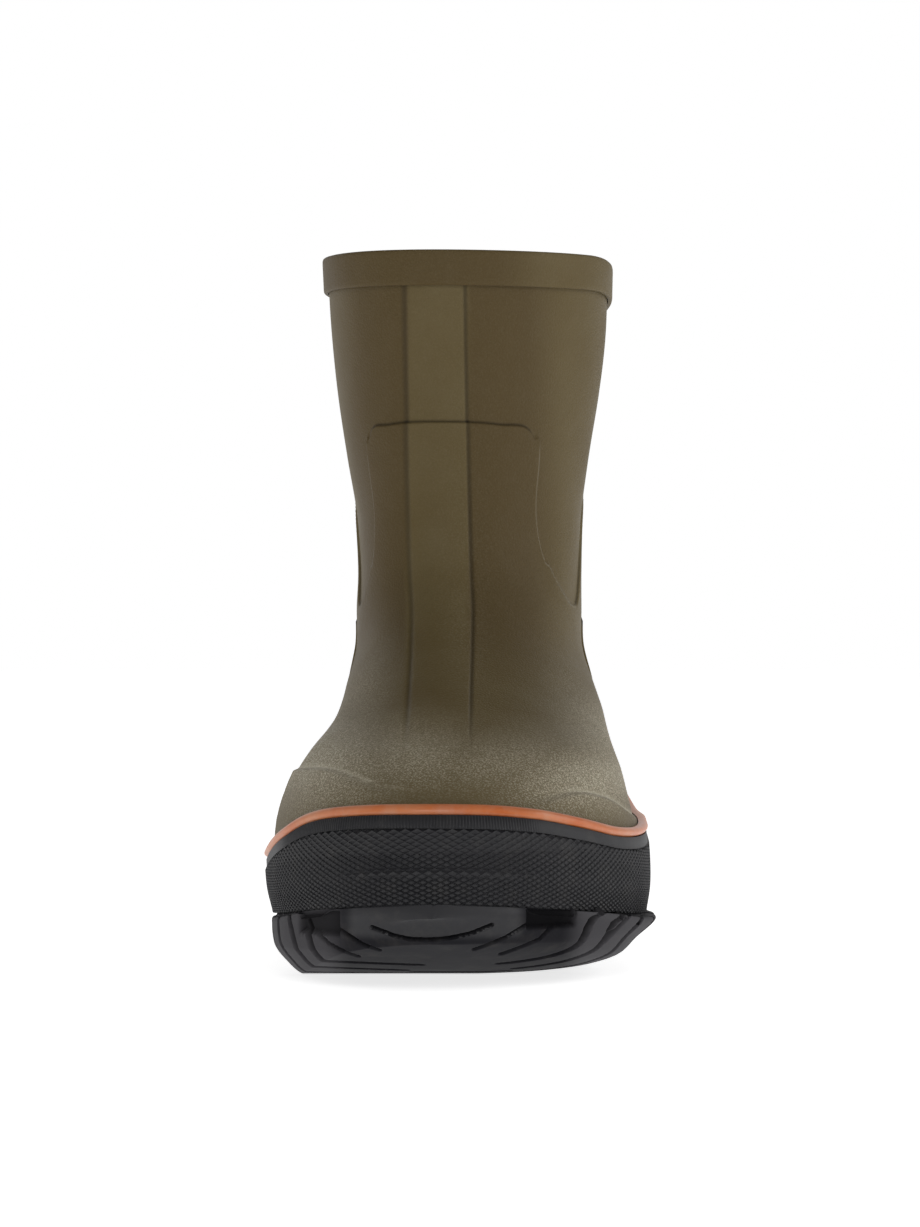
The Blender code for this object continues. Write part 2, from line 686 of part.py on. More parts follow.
def tread_cutters(cutters):
    """Grooves of the tread: arrows under forefoot and heel, short bars in the middle, and the open arch."""
    made = []
    half = 0.5 * BALL_WIDTH
    for group, rows in (("chevron", CHEVRONS), ("heel", HEEL_GROOVES)):
        for count, (near, far, first) in enumerate(rows):
            for side, word in ((-1, "in"), (1, "out")):
                start = (side * first * half, along(near))
                end = (side * GROOVE_REACH * half, along(far))
                made.append(groove("%s_groove_%d_%s" % (group, count, word), start, end, cutters))
    for count, place in enumerate(CENTRE_GROOVES):
        y = along(place)
        reach = CENTRE_GROOVE_HALF * half
        made.append(groove("centre_groove_%d" % count, (-reach, y), (reach, y), cutters))
    front = along(ARCH[0])
    back = along(ARCH[1])
    outline = [(-BALL_WIDTH, front - GROOVE_WIDTH), (0.0, front + GROOVE_WIDTH),
               (BALL_WIDTH, front - GROOVE_WIDTH), (BALL_WIDTH, back), (-BALL_WIDTH, back)]
    made.append(prism("arch", outline, "Z", -SOLE_AT_BALL, SOLE_AT_HEEL, cutters))
    return made


def make_outsole(parts, cutters, skin):
    """Outsole: a plate under the whole boot with lugs down to the ground."""
    reach = LAYER_STEP + CLEARANCE + RAND_THICKNESS

    def plate(y):
        top = sole_line(y)
        under = [(place, mix(ground_line(y), top, share)) for place, share in PLATE_PROFILE]
        return [(-1.0, top), (-0.5, top), (0.0, top), (0.5, top), (1.0, top)] + under

    def lugs(y):
        top = sole_line(y)
        ground = ground_line(y)
        toward_heel = smooth((share_along(y) - ARCH[0]) / (ARCH[1] - ARCH[0]))
        under = [(place, mix(ground, top, mix(ball, heel, toward_heel)))
                 for place, ball, heel in TREAD_PROFILE]
        roof = mix(ground, top, LUG_ROOF)
        return under + [(LUG_ROOF_EDGE, roof), (0.0, roof), (-LUG_ROOF_EDGE, roof)]

    outsole = slab("outsole", sole_outline(reach, 0.0), plate, parts, skin)
    tread = slab("tread_form", sole_outline(reach - 2.0 * CLEARANCE, 0.0), lugs, cutters, None)
    for cutter in tread_cutters(cutters):
        boolean(tread, cutter, "DIFFERENCE")
    boolean(outsole, tread, "UNION")
    return outsole


def make_insole(parts, skin):
    """Thin insole that lies on the outsole inside the upper."""
    def profile(y):
        low = sole_line(y) + CLEARANCE
        high = low + INSOLE_THICKNESS
        return [(-1.0, low), (0.0, low), (1.0, low), (1.0, high), (0.0, high), (-1.0, high)]

    return slab("insole", sole_outline(-UPPER_WALL - INSOLE_GAP, 0.0), profile, parts, skin)


def main():
    clear_scene()
    parts = new_collection("rubber_boot")
    cutters = new_collection("cutters")
    olive = material("olive_rubber", COLOURS["upper"], 0.5)
    orange = material("orange_piping", COLOURS["piping"], 0.35)
    black = material("black_rubber", COLOURS["black"], 0.5)
    lining = material("insole_cloth", COLOURS["insole"], 0.9)
    make_upper(parts, cutters, olive)
    make_collar_band(parts, olive)
    make_heel_counter(parts, cutters, olive)
    make_piping(parts, orange)
    make_rand(parts, black)
    make_outsole(parts, cutters, black)
    make_insole(parts, lining)
    for cutter in cutters.objects:
        cutter.hide_render = True
        cutter.display_type = "WIRE"


main()
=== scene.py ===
"""Looks of a left rubber boot: fine surfaces, finishes, light and camera around its fixed frame.

Metres, +Z up. The toe points to -Y and the inner side of the foot is -X. Every fine piece is worked out
from one surface, the outside of the upper, with the same sizes and sections as the solids that it replaces.
"""

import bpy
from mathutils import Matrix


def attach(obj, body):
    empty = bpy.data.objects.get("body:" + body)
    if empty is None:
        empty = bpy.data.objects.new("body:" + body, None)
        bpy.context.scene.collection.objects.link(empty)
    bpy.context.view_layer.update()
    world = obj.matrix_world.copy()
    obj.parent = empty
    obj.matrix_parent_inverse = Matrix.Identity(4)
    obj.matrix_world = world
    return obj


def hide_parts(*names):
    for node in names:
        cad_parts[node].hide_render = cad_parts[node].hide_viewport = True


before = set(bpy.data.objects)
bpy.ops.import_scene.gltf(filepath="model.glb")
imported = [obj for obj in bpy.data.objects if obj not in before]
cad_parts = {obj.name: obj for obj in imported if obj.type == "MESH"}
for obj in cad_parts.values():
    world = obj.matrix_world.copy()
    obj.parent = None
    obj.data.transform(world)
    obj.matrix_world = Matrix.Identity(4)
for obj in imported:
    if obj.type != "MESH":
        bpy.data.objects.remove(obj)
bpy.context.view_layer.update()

import math

import bpy
import numpy as np
from bpy.props import FloatProperty, FloatVectorProperty, PointerProperty
from bpy.types import Operator, Panel, PropertyGroup
from mathutils import Vector
from mathutils.kdtree import KDTree

bl_info = {
    "name": "Rubber Boot Looks",
    "version": (1, 0, 0),
    "blender": (4, 5, 0),
    "location": "3D View > Sidebar > Boot",
    "description": "Fine surfaces and finishes for a rubber boot on its frame",
    "category": "Object",
}

MM = 0.001

# Sizes of the boot, the same as its solids have
BOOT_LENGTH = 0.300
BALL_WIDTH = 0.1120
WAIST_WIDTH = 0.0920
HEEL_WIDTH = 0.0830
ANKLE_WIDTH = 0.0708
COLLAR_WIDTH = 0.0908
FOOT_HEIGHT = 0.0980
SHAFT_HEIGHT = 0.2226
COLLAR_DROP = 0.0080
LEG_TURN = math.radians(14.0)
RIM_LEVEL_TO = 0.38
SOLE_AT_BALL = 0.0185
SOLE_AT_HEEL = 0.0280
SOLE_AT_TOE = 0.0256
TOE_SPRING = 0.0155
HEEL_SPRING = 0.0031
UPPER_WALL = 0.0026
LAYER_STEP = 0.0009
BAND_HEIGHT = 0.0100
BAND_THICKNESS = 0.0017
COUNTER_THICKNESS = 0.0008
TOE_CAP_STEP = 0.0011
STRIP_WIDTH = 0.0195
PIPING_HEIGHT = 0.0034
PIPING_THICKNESS = 0.0027
RAND_THICKNESS = 0.0026
RIB_STRIP_HEIGHT = 0.0026
RIB_STRIP_SET_BACK = 0.0005
CLEARANCE = 0.0003
GROOVE_WIDTH = 0.0032
INSOLE_THICKNESS = 0.0035
INSOLE_GAP = 0.0010
BALL_IN_AT = 0.290
BALL_OUT_AT = 0.360
WAIST_AT = 0.570
HEEL_AT = 0.830
SOLE_RISE = (0.370, 0.670)
TOE_SPRING_FROM = 0.310
HEEL_SPRING_FROM = 0.955
TOE_CAP_FADE = (0.350, 0.400)
SOLE_TOE_POWER = 1.6
TREAD_TOE_POWER = 1.8
LEVEL_ENDS = 0.05

# Sections of the foot, as the solids have them: shares of the named sizes
FOOT_COLUMNS = ("front", "back", "front_up", "back_up", "nose", "tail", "tip", "rear", "ball_in", "ball_out",
                "waist_in", "waist_out", "heel_in", "heel_out", "sag")
FOOT_SECTIONS = (
    (0.0125, 0.9885, 0.000, 0.000, 0.29, 0.16, -0.065, 0.018, 0.462, 0.460, 0.418, 0.528, 0.458, 0.500, 1.00),
    (0.0115, 0.9920, 0.102, 0.102, 0.29, 0.16, -0.065, 0.018, 0.480, 0.471, 0.430, 0.540, 0.468, 0.510, 1.00),
    (0.0220, 0.9950, 0.230, 0.225, 0.29, 0.17, -0.064, 0.020, 0.482, 0.464, 0.420, 0.512, 0.462, 0.510, 0.60),
    (0.0560, 0.9930, 0.333, 0.327, 0.29, 0.17, -0.062, 0.023, 0.460, 0.444, 0.409, 0.487, 0.450, 0.510, 0.30),
    (0.1200, 0.9860, 0.450, 0.429, 0.29, 0.18, -0.060, 0.027, 0.428, 0.420, 0.400, 0.482, 0.431, 0.500, 0.15),
    (0.2330, 0.9750, 0.566, 0.520, 0.29, 0.20, -0.058, 0.032, 0.380, 0.396, 0.392, 0.480, 0.414, 0.490, 0.00),
    (0.3570, 0.9610, 0.686, 0.612, 0.29, 0.21, -0.055, 0.038, 0.352, 0.374, 0.386, 0.457, 0.400, 0.480, 0.00),
    (0.4500, 0.9430, 0.788, 0.714, 0.27, 0.22, -0.052, 0.044, 0.318, 0.353, 0.362, 0.427, 0.386, 0.460, 0.00),
)

# Sections of the leg, from the instep to the collar
LEG_COLUMNS = ("front", "back", "up", "drop", "flare", "nose", "tail", "tip", "rear", "inner", "outer")
LEG_SECTIONS = (
    (0.5130, 0.9260, 0.098, 0.10, 0.020, 0.220, 0.200, -0.051, 0.050, 0.460, 0.543),
    (0.5480, 0.9160, 0.195, 0.20, 0.000, 0.185, 0.184, -0.056, 0.056, 0.456, 0.546),
    (0.5610, 0.9110, 0.325, 0.32, 0.060, 0.176, 0.175, -0.060, 0.062, 0.462, 0.545),
    (0.5600, 0.9100, 0.488, 0.48, 0.310, 0.175, 0.175, -0.064, 0.067, 0.476, 0.542),
    (0.5520, 0.9110, 0.666, 0.66, 0.655, 0.180, 0.179, -0.068, 0.072, 0.475, 0.539),
    (0.5400, 0.9120, 0.829, 0.83, 0.880, 0.187, 0.185, -0.071, 0.076, 0.474, 0.536),
    (0.5290, 0.9110, 1.000, 1.00, 1.000, 0.192, 0.190, -0.073, 0.078, 0.474, 0.529),
)

# Height of the rand's top over the ground: place along the boot, inner and outer side (shares of FOOT_HEIGHT)
RAND_TOP = (
    (0.000, 0.535, 0.535), (0.045, 0.532, 0.530), (0.100, 0.512, 0.496), (0.160, 0.462, 0.464),
    (0.280, 0.388, 0.462), (0.400, 0.420, 0.500), (0.560, 0.545, 0.600), (0.700, 0.615, 0.626),
    (1.000, 0.632, 0.632),
)

# Upper edge of the raised foot layer from the side: place along the boot, height (share of SHAFT_HEIGHT)
LAYER_EDGE = (
    (0.500, 0.756), (0.573, 0.756), (0.600, 0.738), (0.610, 0.690), (0.612, 0.610), (0.622, 0.552),
    (0.640, 0.512), (0.667, 0.497), (0.692, 0.512), (0.722, 0.575), (0.765, 0.650), (0.830, 0.690),
    (0.960, 0.705),
)

# Edge of the heel counter from the side, from the rand up and back: place along the boot, height
COUNTER_EDGE = (
    (0.616, 0.250), (0.628, 0.330), (0.644, 0.390), (0.662, 0.432), (0.690, 0.452), (0.740, 0.470),
    (0.820, 0.500), (0.900, 0.515), (1.010, 0.520),
)

# Edge of the toe cap from the front: sideways place (share of BALL_WIDTH), height and softness (shares of
# FOOT_HEIGHT)
TOE_CAP_EDGE = (
    (-0.560, 0.590, 0.015), (-0.420, 0.632, 0.015), (-0.330, 0.638, 0.020), (-0.210, 0.600, 0.040),
    (-0.060, 0.575, 0.120), (0.110, 0.562, 0.120), (0.220, 0.566, 0.040), (0.310, 0.572, 0.020),
    (0.390, 0.545, 0.015), (0.470, 0.480, 0.015), (0.560, 0.420, 0.015),
)

# Grooves at the two edges of the front strip: half width and depth on the inner and outer side, in metres,
# and the heights over the instep where they start and where they are full (shares of FOOT_HEIGHT)
GROOVE_HALF = {-1: 1.55 * MM, 1: 1.10 * MM}
GROOVE_DEPTH = {-1: 0.42 * MM, 1: 0.50 * MM}
GROOVE_FADE = (0.66, 0.86)

# Underside of the plate in the open arch: place (share of half width), height (share of the sole's thickness)
PLATE_PROFILE = (
    (-0.985, 0.80), (-0.93, 0.62), (-0.70, 0.46), (0.00, 0.42), (0.70, 0.48), (0.93, 0.68), (0.985, 0.84),
)

# The sole across the boot, from its inner top edge round underneath: place (share of half width), rise over
# the ground under the ball and under the heel (shares of the sole's thickness)
SOLE_PROFILE = (
    (-0.900, 1.00, 1.00), (-0.975, 1.00, 1.00), (-0.978, 0.965, 0.965), (-1.000, 0.93, 0.93),
    (-1.003, 0.80, 0.80), (-1.000, 0.66, 0.60), (-0.985, 0.46, 0.30), (-0.925, 0.22, 0.08),
    (-0.840, 0.00, 0.00), (-0.600, 0.00, 0.00), (0.100, 0.00, 0.00), (0.500, 0.07, 0.00),
    (0.720, 0.18, 0.00), (0.860, 0.34, 0.02), (0.940, 0.58, 0.12), (1.050, 0.93, 0.70), (1.015, 0.955, 0.93),
    (0.978, 0.965, 0.965), (0.975, 1.00, 1.00), (0.900, 1.00, 1.00),
)

# Slanted grooves of the tread: place along the boot at the inner and at the outer end (shares of length), and
# place across where the groove starts (share of half the ball width). They all run out past the edge.
CHEVRONS = (
    (0.130, 0.075, 0.22), (0.180, 0.110, 0.30), (0.245, 0.165, 0.30), (0.315, 0.235, 0.30),
    (0.385, 0.310, 0.30), (0.455, 0.385, 0.30), (0.775, 0.735, 0.16), (0.840, 0.800, 0.16),
    (0.905, 0.870, 0.16),
)
CENTRE_GROOVES = (0.205, 0.285, 0.365, 0.445)
CENTRE_GROOVE_HALF = 0.24
GROOVE_REACH = 1.25
ARCH = (0.505, 0.690)

# Narrow grooves on the sole's toe as they look from the front: half width, depth, and places (across, height)
# in metres
TOE_GROOVES = (
    (0.55 * MM, 1.7 * MM, ((-25.4, 18.9), (-18.5, 16.4), (-14.1, 15.5), (-8.1, 15.4), (-2.9, 15.9),
                           (3.2, 17.2), (9.2, 19.6))),
    (0.45 * MM, 1.5 * MM, ((-35.3, 18.1), (-28.3, 13.8), (-23.1, 11.8))),
    (0.40 * MM, 1.5 * MM, ((-42.0, 16.4), (-37.9, 13.2), (-29.4, 9.4))),
    (0.45 * MM, 1.5 * MM, ((19.6, 19.6), (13.3, 15.8), (4.0, 12.0))),
    (0.45 * MM, 1.5 * MM, ((27.4, 19.0), (23.1, 14.8), (11.7, 10.0))),
    (0.50 * MM, 1.6 * MM, ((49.8, 19.6), (42.8, 12.3))),
)

# Recesses of the toe beside its smooth crescent, from the front: left, right, low and high in metres
TOE_RECESSES = ((-47.0 * MM, -35.0 * MM, 16.0 * MM, 23.2 * MM), (19.5 * MM, 33.5 * MM, 18.0 * MM, 24.4 * MM))

# Camera: how far in front of the boot, its height, its downward tilt and its lens on a 36 mm sensor
CAMERA_AT = (0.0, -1.75, 0.117)
CAMERA_TILT = math.radians(0.28)
CAMERA_LENS = 218.5


def mix(low, high, share):
    return low + (high - low) * share


def smooth(share):
    share = np.clip(share, 0.0, 1.0)
    return share * share * (3.0 - 2.0 * share)


def fade(value, start, full):
    """Soft share from 0 where a value is at the start to 1 where it is at the full place."""
    return smooth((value - start) / (full - start))


def along(share):
    """Y of a place given as a share of the length from the toe."""
    return (share - 0.5) * BOOT_LENGTH


def share_along(y):
    return y / BOOT_LENGTH + 0.5


def curve(knots, values, x):
    """Smooth curve through values at knots, level past both ends. x and each value may be arrays."""
    knots = np.asarray(knots, float)
    x = np.clip(np.asarray(x, float), knots[0], knots[-1])
    i = np.clip(np.searchsorted(knots, x) - 1, 0, len(knots) - 2)
    plain = all(np.ndim(value) == 0 for value in values)
    if plain:
        stack = np.array(values, float)
    else:
        stack = np.stack([np.broadcast_to(np.asarray(value, float), x.shape) for value in values])
    spans = np.diff(knots)
    slopes = np.diff(stack, axis=0) / spans.reshape((-1,) + (1,) * (stack.ndim - 1))
    before = np.concatenate((slopes[:1], slopes[:-1]))
    after = np.concatenate((slopes[1:], slopes[-1:]))

    def pick(rows, index):
        return rows[index] if plain else np.take_along_axis(rows, index[None], axis=0)[0]

    start = pick(0.5 * (slopes + before), i)
    end = pick(0.5 * (slopes + after), i)
    span = spans[i]
    t = (x - knots[i]) / span
    return ((2 * t**3 - 3 * t**2 + 1) * pick(stack, i) + (t**3 - 2 * t**2 + t) * span * start
            + (-2 * t**3 + 3 * t**2) * pick(stack, i + 1) + (t**3 - t**2) * span * end)


def table_curve(table, column, x):
    """Smooth curve through one column of a table whose first column holds the places."""
    return curve([row[0] for row in table], [row[column] for row in table], x)


def sole_line(y):
    """Height of the sole's upper edge: highest at the heel, lowest at the ball."""
    share = share_along(y)
    height = mix(SOLE_AT_BALL, SOLE_AT_HEEL, fade(share, *SOLE_RISE))
    toe = np.maximum(0.0, (BALL_IN_AT - share) / BALL_IN_AT)
    return height + (SOLE_AT_TOE - SOLE_AT_BALL) * toe**SOLE_TOE_POWER


def ground_line(y):
    """Height of the tread over the ground: level under ball and heel, raised at the toe."""
    share = share_along(y)
    toe = np.maximum(0.0, (TOE_SPRING_FROM - share) / TOE_SPRING_FROM)
    heel = np.maximum(0.0, (share - HEEL_SPRING_FROM) / (1.0 - HEEL_SPRING_FROM))
    return TOE_SPRING * toe**TREAD_TOE_POWER + HEEL_SPRING * heel**2


def section_ends(s):
    """What the sections of foot and leg have in common, in metres."""
    return {"front": along(s["front"]), "back": along(s["back"]),
            "nose": s["nose"] * BOOT_LENGTH, "tail": s["tail"] * BOOT_LENGTH,
            "tip": s["tip"] * BALL_WIDTH, "rear": s["rear"] * BALL_WIDTH}


def make_sections():
    """All sections in metres, each a dictionary, from the sole up."""
    sections = []
    for row in FOOT_SECTIONS:
        s = dict(zip(FOOT_COLUMNS, row))
        section = dict(section_ends(s), sag=s["sag"], drop=0.0)
        for end in ("front", "back"):
            section[end + "_z"] = s[end + "_up"] * FOOT_HEIGHT + float(sole_line(section[end])) + CLEARANCE
        for place, width in (("ball", BALL_WIDTH), ("waist", WAIST_WIDTH), ("heel", HEEL_WIDTH)):
            for side in ("_in", "_out"):
                section[place + side] = s[place + side] * width
        sections.append(section)
    for row in LEG_SECTIONS:
        s = dict(zip(LEG_COLUMNS, row))
        width = mix(ANKLE_WIDTH, COLLAR_WIDTH, s["flare"])
        height = mix(FOOT_HEIGHT, SHAFT_HEIGHT, s["up"])
        section = dict(section_ends(s), front_z=height, back_z=height, sag=0.0, drop=s["drop"] * COLLAR_DROP)
        for place in ("ball", "waist", "heel"):
            section[place + "_in"] = s["inner"] * width
            section[place + "_out"] = s["outer"] * width
        sections.append(section)
    return sections


def section_knots(sections):
    """Place of each section up the boot, from 0 to 1, by the distance between their ends."""
    places = [0.0]
    for low, high in zip(sections, sections[1:]):
        front = math.hypot(high["front"] - low["front"], high["front_z"] - low["front_z"])
        back = math.hypot(high["back"] - low["back"], high["back_z"] - low["back_z"])
        places.append(places[-1] + 0.6 * front + 0.4 * back)
    return [place / places[-1] for place in places]


SECTIONS = make_sections()
KNOTS = section_knots(SECTIONS)


# Working steps: samples up and round the boot, small steps for slopes, and rounds of halving
V_SAMPLES = np.linspace(0.0, 1.0, 4001)
ROUND_SAMPLES = 1441
V_STEP = 0.004
TURN_STEP = 0.01
HALVINGS = 26
GUESSES = 12
TINY = 1e-9

SECTION_TABLE = {key: curve(KNOTS, [section[key] for section in SECTIONS], V_SAMPLES) for key in SECTIONS[0]}


def section_at(v):
    return {key: np.interp(v, V_SAMPLES, values) for key, values in SECTION_TABLE.items()}


def round_end(share):
    share = np.clip(share, 0.0, 1.0)
    return np.sqrt(np.maximum(0.0, 1.0 - (1.0 - share) ** 2))


def surface(theta, v):
    """Points of the upper's outside. theta is 0 at the front, and runs by the outer side (+X) to the back."""
    theta, v = np.broadcast_arrays(np.asarray(theta, float), np.asarray(v, float))
    s = section_at(v)
    u = 0.5 * (1.0 - np.cos(theta))
    y = mix(s["front"], s["back"], u)
    outer = np.sin(theta) >= 0.0
    stations = {}
    for side, ball_at in (("out", BALL_OUT_AT), ("in", BALL_IN_AT)):
        places = (along(ball_at), along(WAIST_AT), along(HEEL_AT))
        stations[side] = curve(places, [s["ball_" + side], s["waist_" + side], s["heel_" + side]], y)
    width = np.where(outer, stations["out"], stations["in"])
    ahead = y - s["front"]
    behind = s["back"] - y
    half = width * round_end(ahead / s["nose"]) * round_end(behind / s["tail"])
    near_front = np.maximum(0.0, 1.0 - ahead / s["nose"])
    near_back = np.maximum(0.0, 1.0 - behind / s["tail"])
    x = s["tip"] * near_front**2 + s["rear"] * near_back**2 + np.where(outer, half, -half)
    level = mix(sole_line(s["front"]), sole_line(s["back"]), u)
    behind_side = 0.5 * (1.0 - np.cos(theta + LEG_TURN))
    z = mix(s["front_z"], s["back_z"], u) + s["sag"] * (sole_line(y) - level)
    z = z - s["drop"] * fade(behind_side, RIM_LEVEL_TO, 1.0)
    return np.stack((x, y, z), axis=-1)


def unit(way):
    return way / np.maximum(np.linalg.norm(way, axis=-1, keepdims=True), 1e-12)


def outward(theta, v):
    """Directions straight out of the upper's surface, level at its lower edge and at the rim."""
    theta, v = np.broadcast_arrays(np.asarray(theta, float), np.asarray(v, float))
    round_way = surface(theta + V_STEP, v) - surface(theta - V_STEP, v)
    up_way = surface(theta, np.minimum(v + V_STEP, 1.0)) - surface(theta, np.maximum(v - V_STEP, 0.0))
    normal = unit(np.cross(round_way, up_way))
    normal[..., 2] *= smooth(v / LEVEL_ENDS) * smooth((1.0 - v) / LEVEL_ENDS)
    return unit(normal)


def toe_cap_relief(points):
    """Height of the toe cap's step."""
    across = points[..., 0] / BALL_WIDTH
    edge = table_curve(TOE_CAP_EDGE, 1, across) * FOOT_HEIGHT
    soft = table_curve(TOE_CAP_EDGE, 2, across) * FOOT_HEIGHT
    fore = fade(share_along(points[..., 1]), *TOE_CAP_FADE[::-1])
    return TOE_CAP_STEP * fore * smooth((edge - points[..., 2]) / soft)


def form(theta, v, offset=0.0, relief=True):
    """Points at an offset out of the upper's surface, over the toe cap's step where relief is set."""
    points = surface(theta, v)
    offset = np.broadcast_to(np.asarray(offset, float), points.shape[:-1])
    if relief:
        offset = offset + toe_cap_relief(points)
    return points + offset[..., None] * outward(theta, v)


def find_v(theta, above):
    """Places up the boot where above(theta, v) turns from false to true, one for each column."""
    low = np.zeros_like(theta)
    high = np.ones_like(theta)
    for _ in range(HALVINGS):
        middle = 0.5 * (low + high)
        over = above(theta, middle)
        high = np.where(over, middle, high)
        low = np.where(over, low, middle)
    return 0.5 * (low + high)


def v_at_height(theta, height):
    """Places up the boot where its outside reaches a height, by turns of straight guesses and halvings."""
    theta = np.asarray(theta, float)
    low = np.zeros_like(theta)
    high = np.ones_like(theta)
    under = form(theta, low)[..., 2] - height
    over = form(theta, high)[..., 2] - height
    for turn in range(GUESSES):
        share = np.clip(under / np.minimum(under - over, -TINY), 0.02, 0.98) if turn % 3 else 0.5
        middle = mix(low, high, share)
        miss = form(theta, middle)[..., 2] - height
        high = np.where(miss >= 0.0, middle, high)
        over = np.where(miss >= 0.0, miss, over)
        low = np.where(miss >= 0.0, low, middle)
        under = np.where(miss >= 0.0, under, miss)
    return mix(low, high, np.clip(under / np.minimum(under - over, -TINY), 0.0, 1.0))


def v_at_edge(theta, table):
    """Places up the boot where it crosses an edge that a table gives from the side."""
    def above(t, v):
        points = surface(t, v)
        return points[..., 2] >= table_curve(table, 1, share_along(points[..., 1])) * SHAFT_HEIGHT

    return find_v(np.asarray(theta, float), above)


def rand_top(theta, y):
    share = share_along(y)
    sideways = smooth(0.5 + np.sin(theta))
    return FOOT_HEIGHT * mix(table_curve(RAND_TOP, 1, share), table_curve(RAND_TOP, 2, share), sideways)


def rand_edge():
    """Height of the rand's top edge all round, found where each column crosses it."""
    theta = np.linspace(0.0, 2.0 * math.pi, ROUND_SAMPLES)
    height = rand_top(theta, form(theta, 0.1)[..., 1])
    for _ in range(6):
        height = rand_top(theta, form(theta, v_at_height(theta, height))[..., 1])
    return theta, height


RAND_EDGE = rand_edge()


def top_of_rand(theta):
    """Height of the rand's top edge on each column."""
    return np.interp(np.mod(theta, 2.0 * math.pi), *RAND_EDGE)


def strip_angle(v, side):
    """Columns where the front strip's edge lies: half the strip's width to one side of the front line."""
    v = np.asarray(v, float)
    front = surface(0.0, v)
    low = np.zeros_like(v)
    high = np.full_like(v, 0.9)
    for _ in range(24):
        middle = 0.5 * (low + high)
        inside = np.linalg.norm(surface(side * middle, v) - front, axis=-1) < 0.5 * STRIP_WIDTH
        low = np.where(inside, middle, low)
        high = np.where(inside, high, middle)
    return side * 0.5 * (low + high)


def nothing_selected():
    if bpy.context.object and bpy.context.object.mode != "OBJECT":
        bpy.ops.object.mode_set(mode="OBJECT")
    bpy.ops.object.select_all(action="DESELECT")


def shaped_grid(name, points):
    """A grid primitive whose vertices are moved to points[row, column]."""
    rows, columns = points.shape[:2]
    nothing_selected()
    bpy.ops.mesh.primitive_grid_add(x_subdivisions=columns - 1, y_subdivisions=rows - 1, size=1.0)
    piece = bpy.context.object
    piece.name = name
    piece.data.name = name
    if len(piece.data.vertices) != rows * columns:
        raise RuntimeError("The grid of %s has the wrong number of points" % name)
    piece.data.vertices.foreach_set("co", np.ascontiguousarray(points, dtype=float).reshape(-1))
    piece.data.update()
    return piece


def store(piece, name, values, rest, shape):
    """Keeps a value for each point of a grid's first rows as an attribute, and one for all other rows."""
    full = np.full(shape, rest)
    full[:len(values)] = values
    piece.data.attributes.new(name, "FLOAT", "POINT").data.foreach_set("value", full.reshape(-1))


def close_seams(piece, angle=40.0):
    """Merges the grid's seams, fills its open ends, turns its faces outwards and shades it smooth."""
    nothing_selected()
    piece.select_set(True)
    bpy.context.view_layer.objects.active = piece
    bpy.ops.object.mode_set(mode="EDIT")
    bpy.ops.mesh.select_all(action="SELECT")
    bpy.ops.mesh.remove_doubles(threshold=MERGE_DISTANCE)
    bpy.ops.mesh.dissolve_degenerate(threshold=MERGE_DISTANCE)
    bpy.ops.mesh.select_all(action="SELECT")
    bpy.ops.mesh.fill_holes(sides=0)
    bpy.ops.mesh.select_all(action="SELECT")
    bpy.ops.mesh.normals_make_consistent(inside=False)
    bpy.ops.object.mode_set(mode="OBJECT")
    bpy.ops.object.shade_smooth_by_angle(angle=math.radians(angle))
    return piece


def place_piece(piece, skin, slot, *nodes):
    """Gives a fine piece its finish and sets it in the frame in place of its solids."""
    piece.data.materials.clear()
    piece.data.materials.append(skin)
    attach(piece, "root")
    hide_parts(*nodes)
    return piece


def spread(knots, counts):
    """Rows of values between neighbouring rows of knots, counts[i] steps from each to the next."""
    rows = [knots[0]]
    for low, high, count in zip(knots, knots[1:], counts):
        rows += [mix(low, high, (step + 1) / count) for step in range(count)]
    return np.stack(rows)


def round_angles(count):
    """Even angles all round the boot, with the first repeated at the end."""
    angles = np.linspace(0.0, 2.0 * math.pi, count + 1)
    angles[-1] = 0.0
    return angles


def arc_angles(v, spacing):
    """Angles all round the boot that are spacing apart along the surface."""
    theta = np.linspace(0.0, 2.0 * math.pi, ROUND_SAMPLES)
    points = surface(theta, np.interp(theta, np.linspace(0.0, 2.0 * math.pi, len(v)), v))
    lengths = np.concatenate(([0.0], np.cumsum(np.linalg.norm(np.diff(points, axis=0), axis=-1))))
    count = int(round(lengths[-1] / spacing))
    return np.interp(np.linspace(0.0, lengths[-1], count + 1), lengths, theta)


# Fine surface of the upper: angles between which its columns change their spacing, how many columns and rows
# lie between the lines that they follow, and how far the rows crowd round the foot layer's upper edge
FRONT_TURN = 0.60
SIDE_TURN = 1.70
COLUMN_COUNTS = (8, 3, 5, 5, 3, 12, 104, 76)
ROW_COUNTS = (3, 8, 10, 122, 14, 36, 3)
INNER_ROWS = 14
LAYER_CROWDING = 2.5 * MM
LAYER_EDGE_WIDTH = 1.30 * MM
LAYER_EDGE_SPACING = 0.15 * MM
LAYER_ENDS = 0.5
COLUMNS_AT = 0.62
ROW_GAP = 0.006
CAP_MARGIN = 0.3 * MM
RIM_TURNS = (0.15, 0.35, 0.50, 0.65, 0.85)
RIM_ROUNDING = 0.16
MERGE_DISTANCE = 1e-6

# Soft unevenness of the moulded rubber: its height, and its waves by their radians for each metre in x, y and
# z, their start and their strength
UNEVENNESS = 0.09 * MM
WAVES = (
    (118.0, 0.0, 71.0, 0.4, 1.0), (0.0, 93.0, -64.0, 1.3, 1.0), (41.0, 0.0, 157.0, 0.7, 1.0),
    (120.0, 260.0, 0.0, 0.0, 0.5),
)

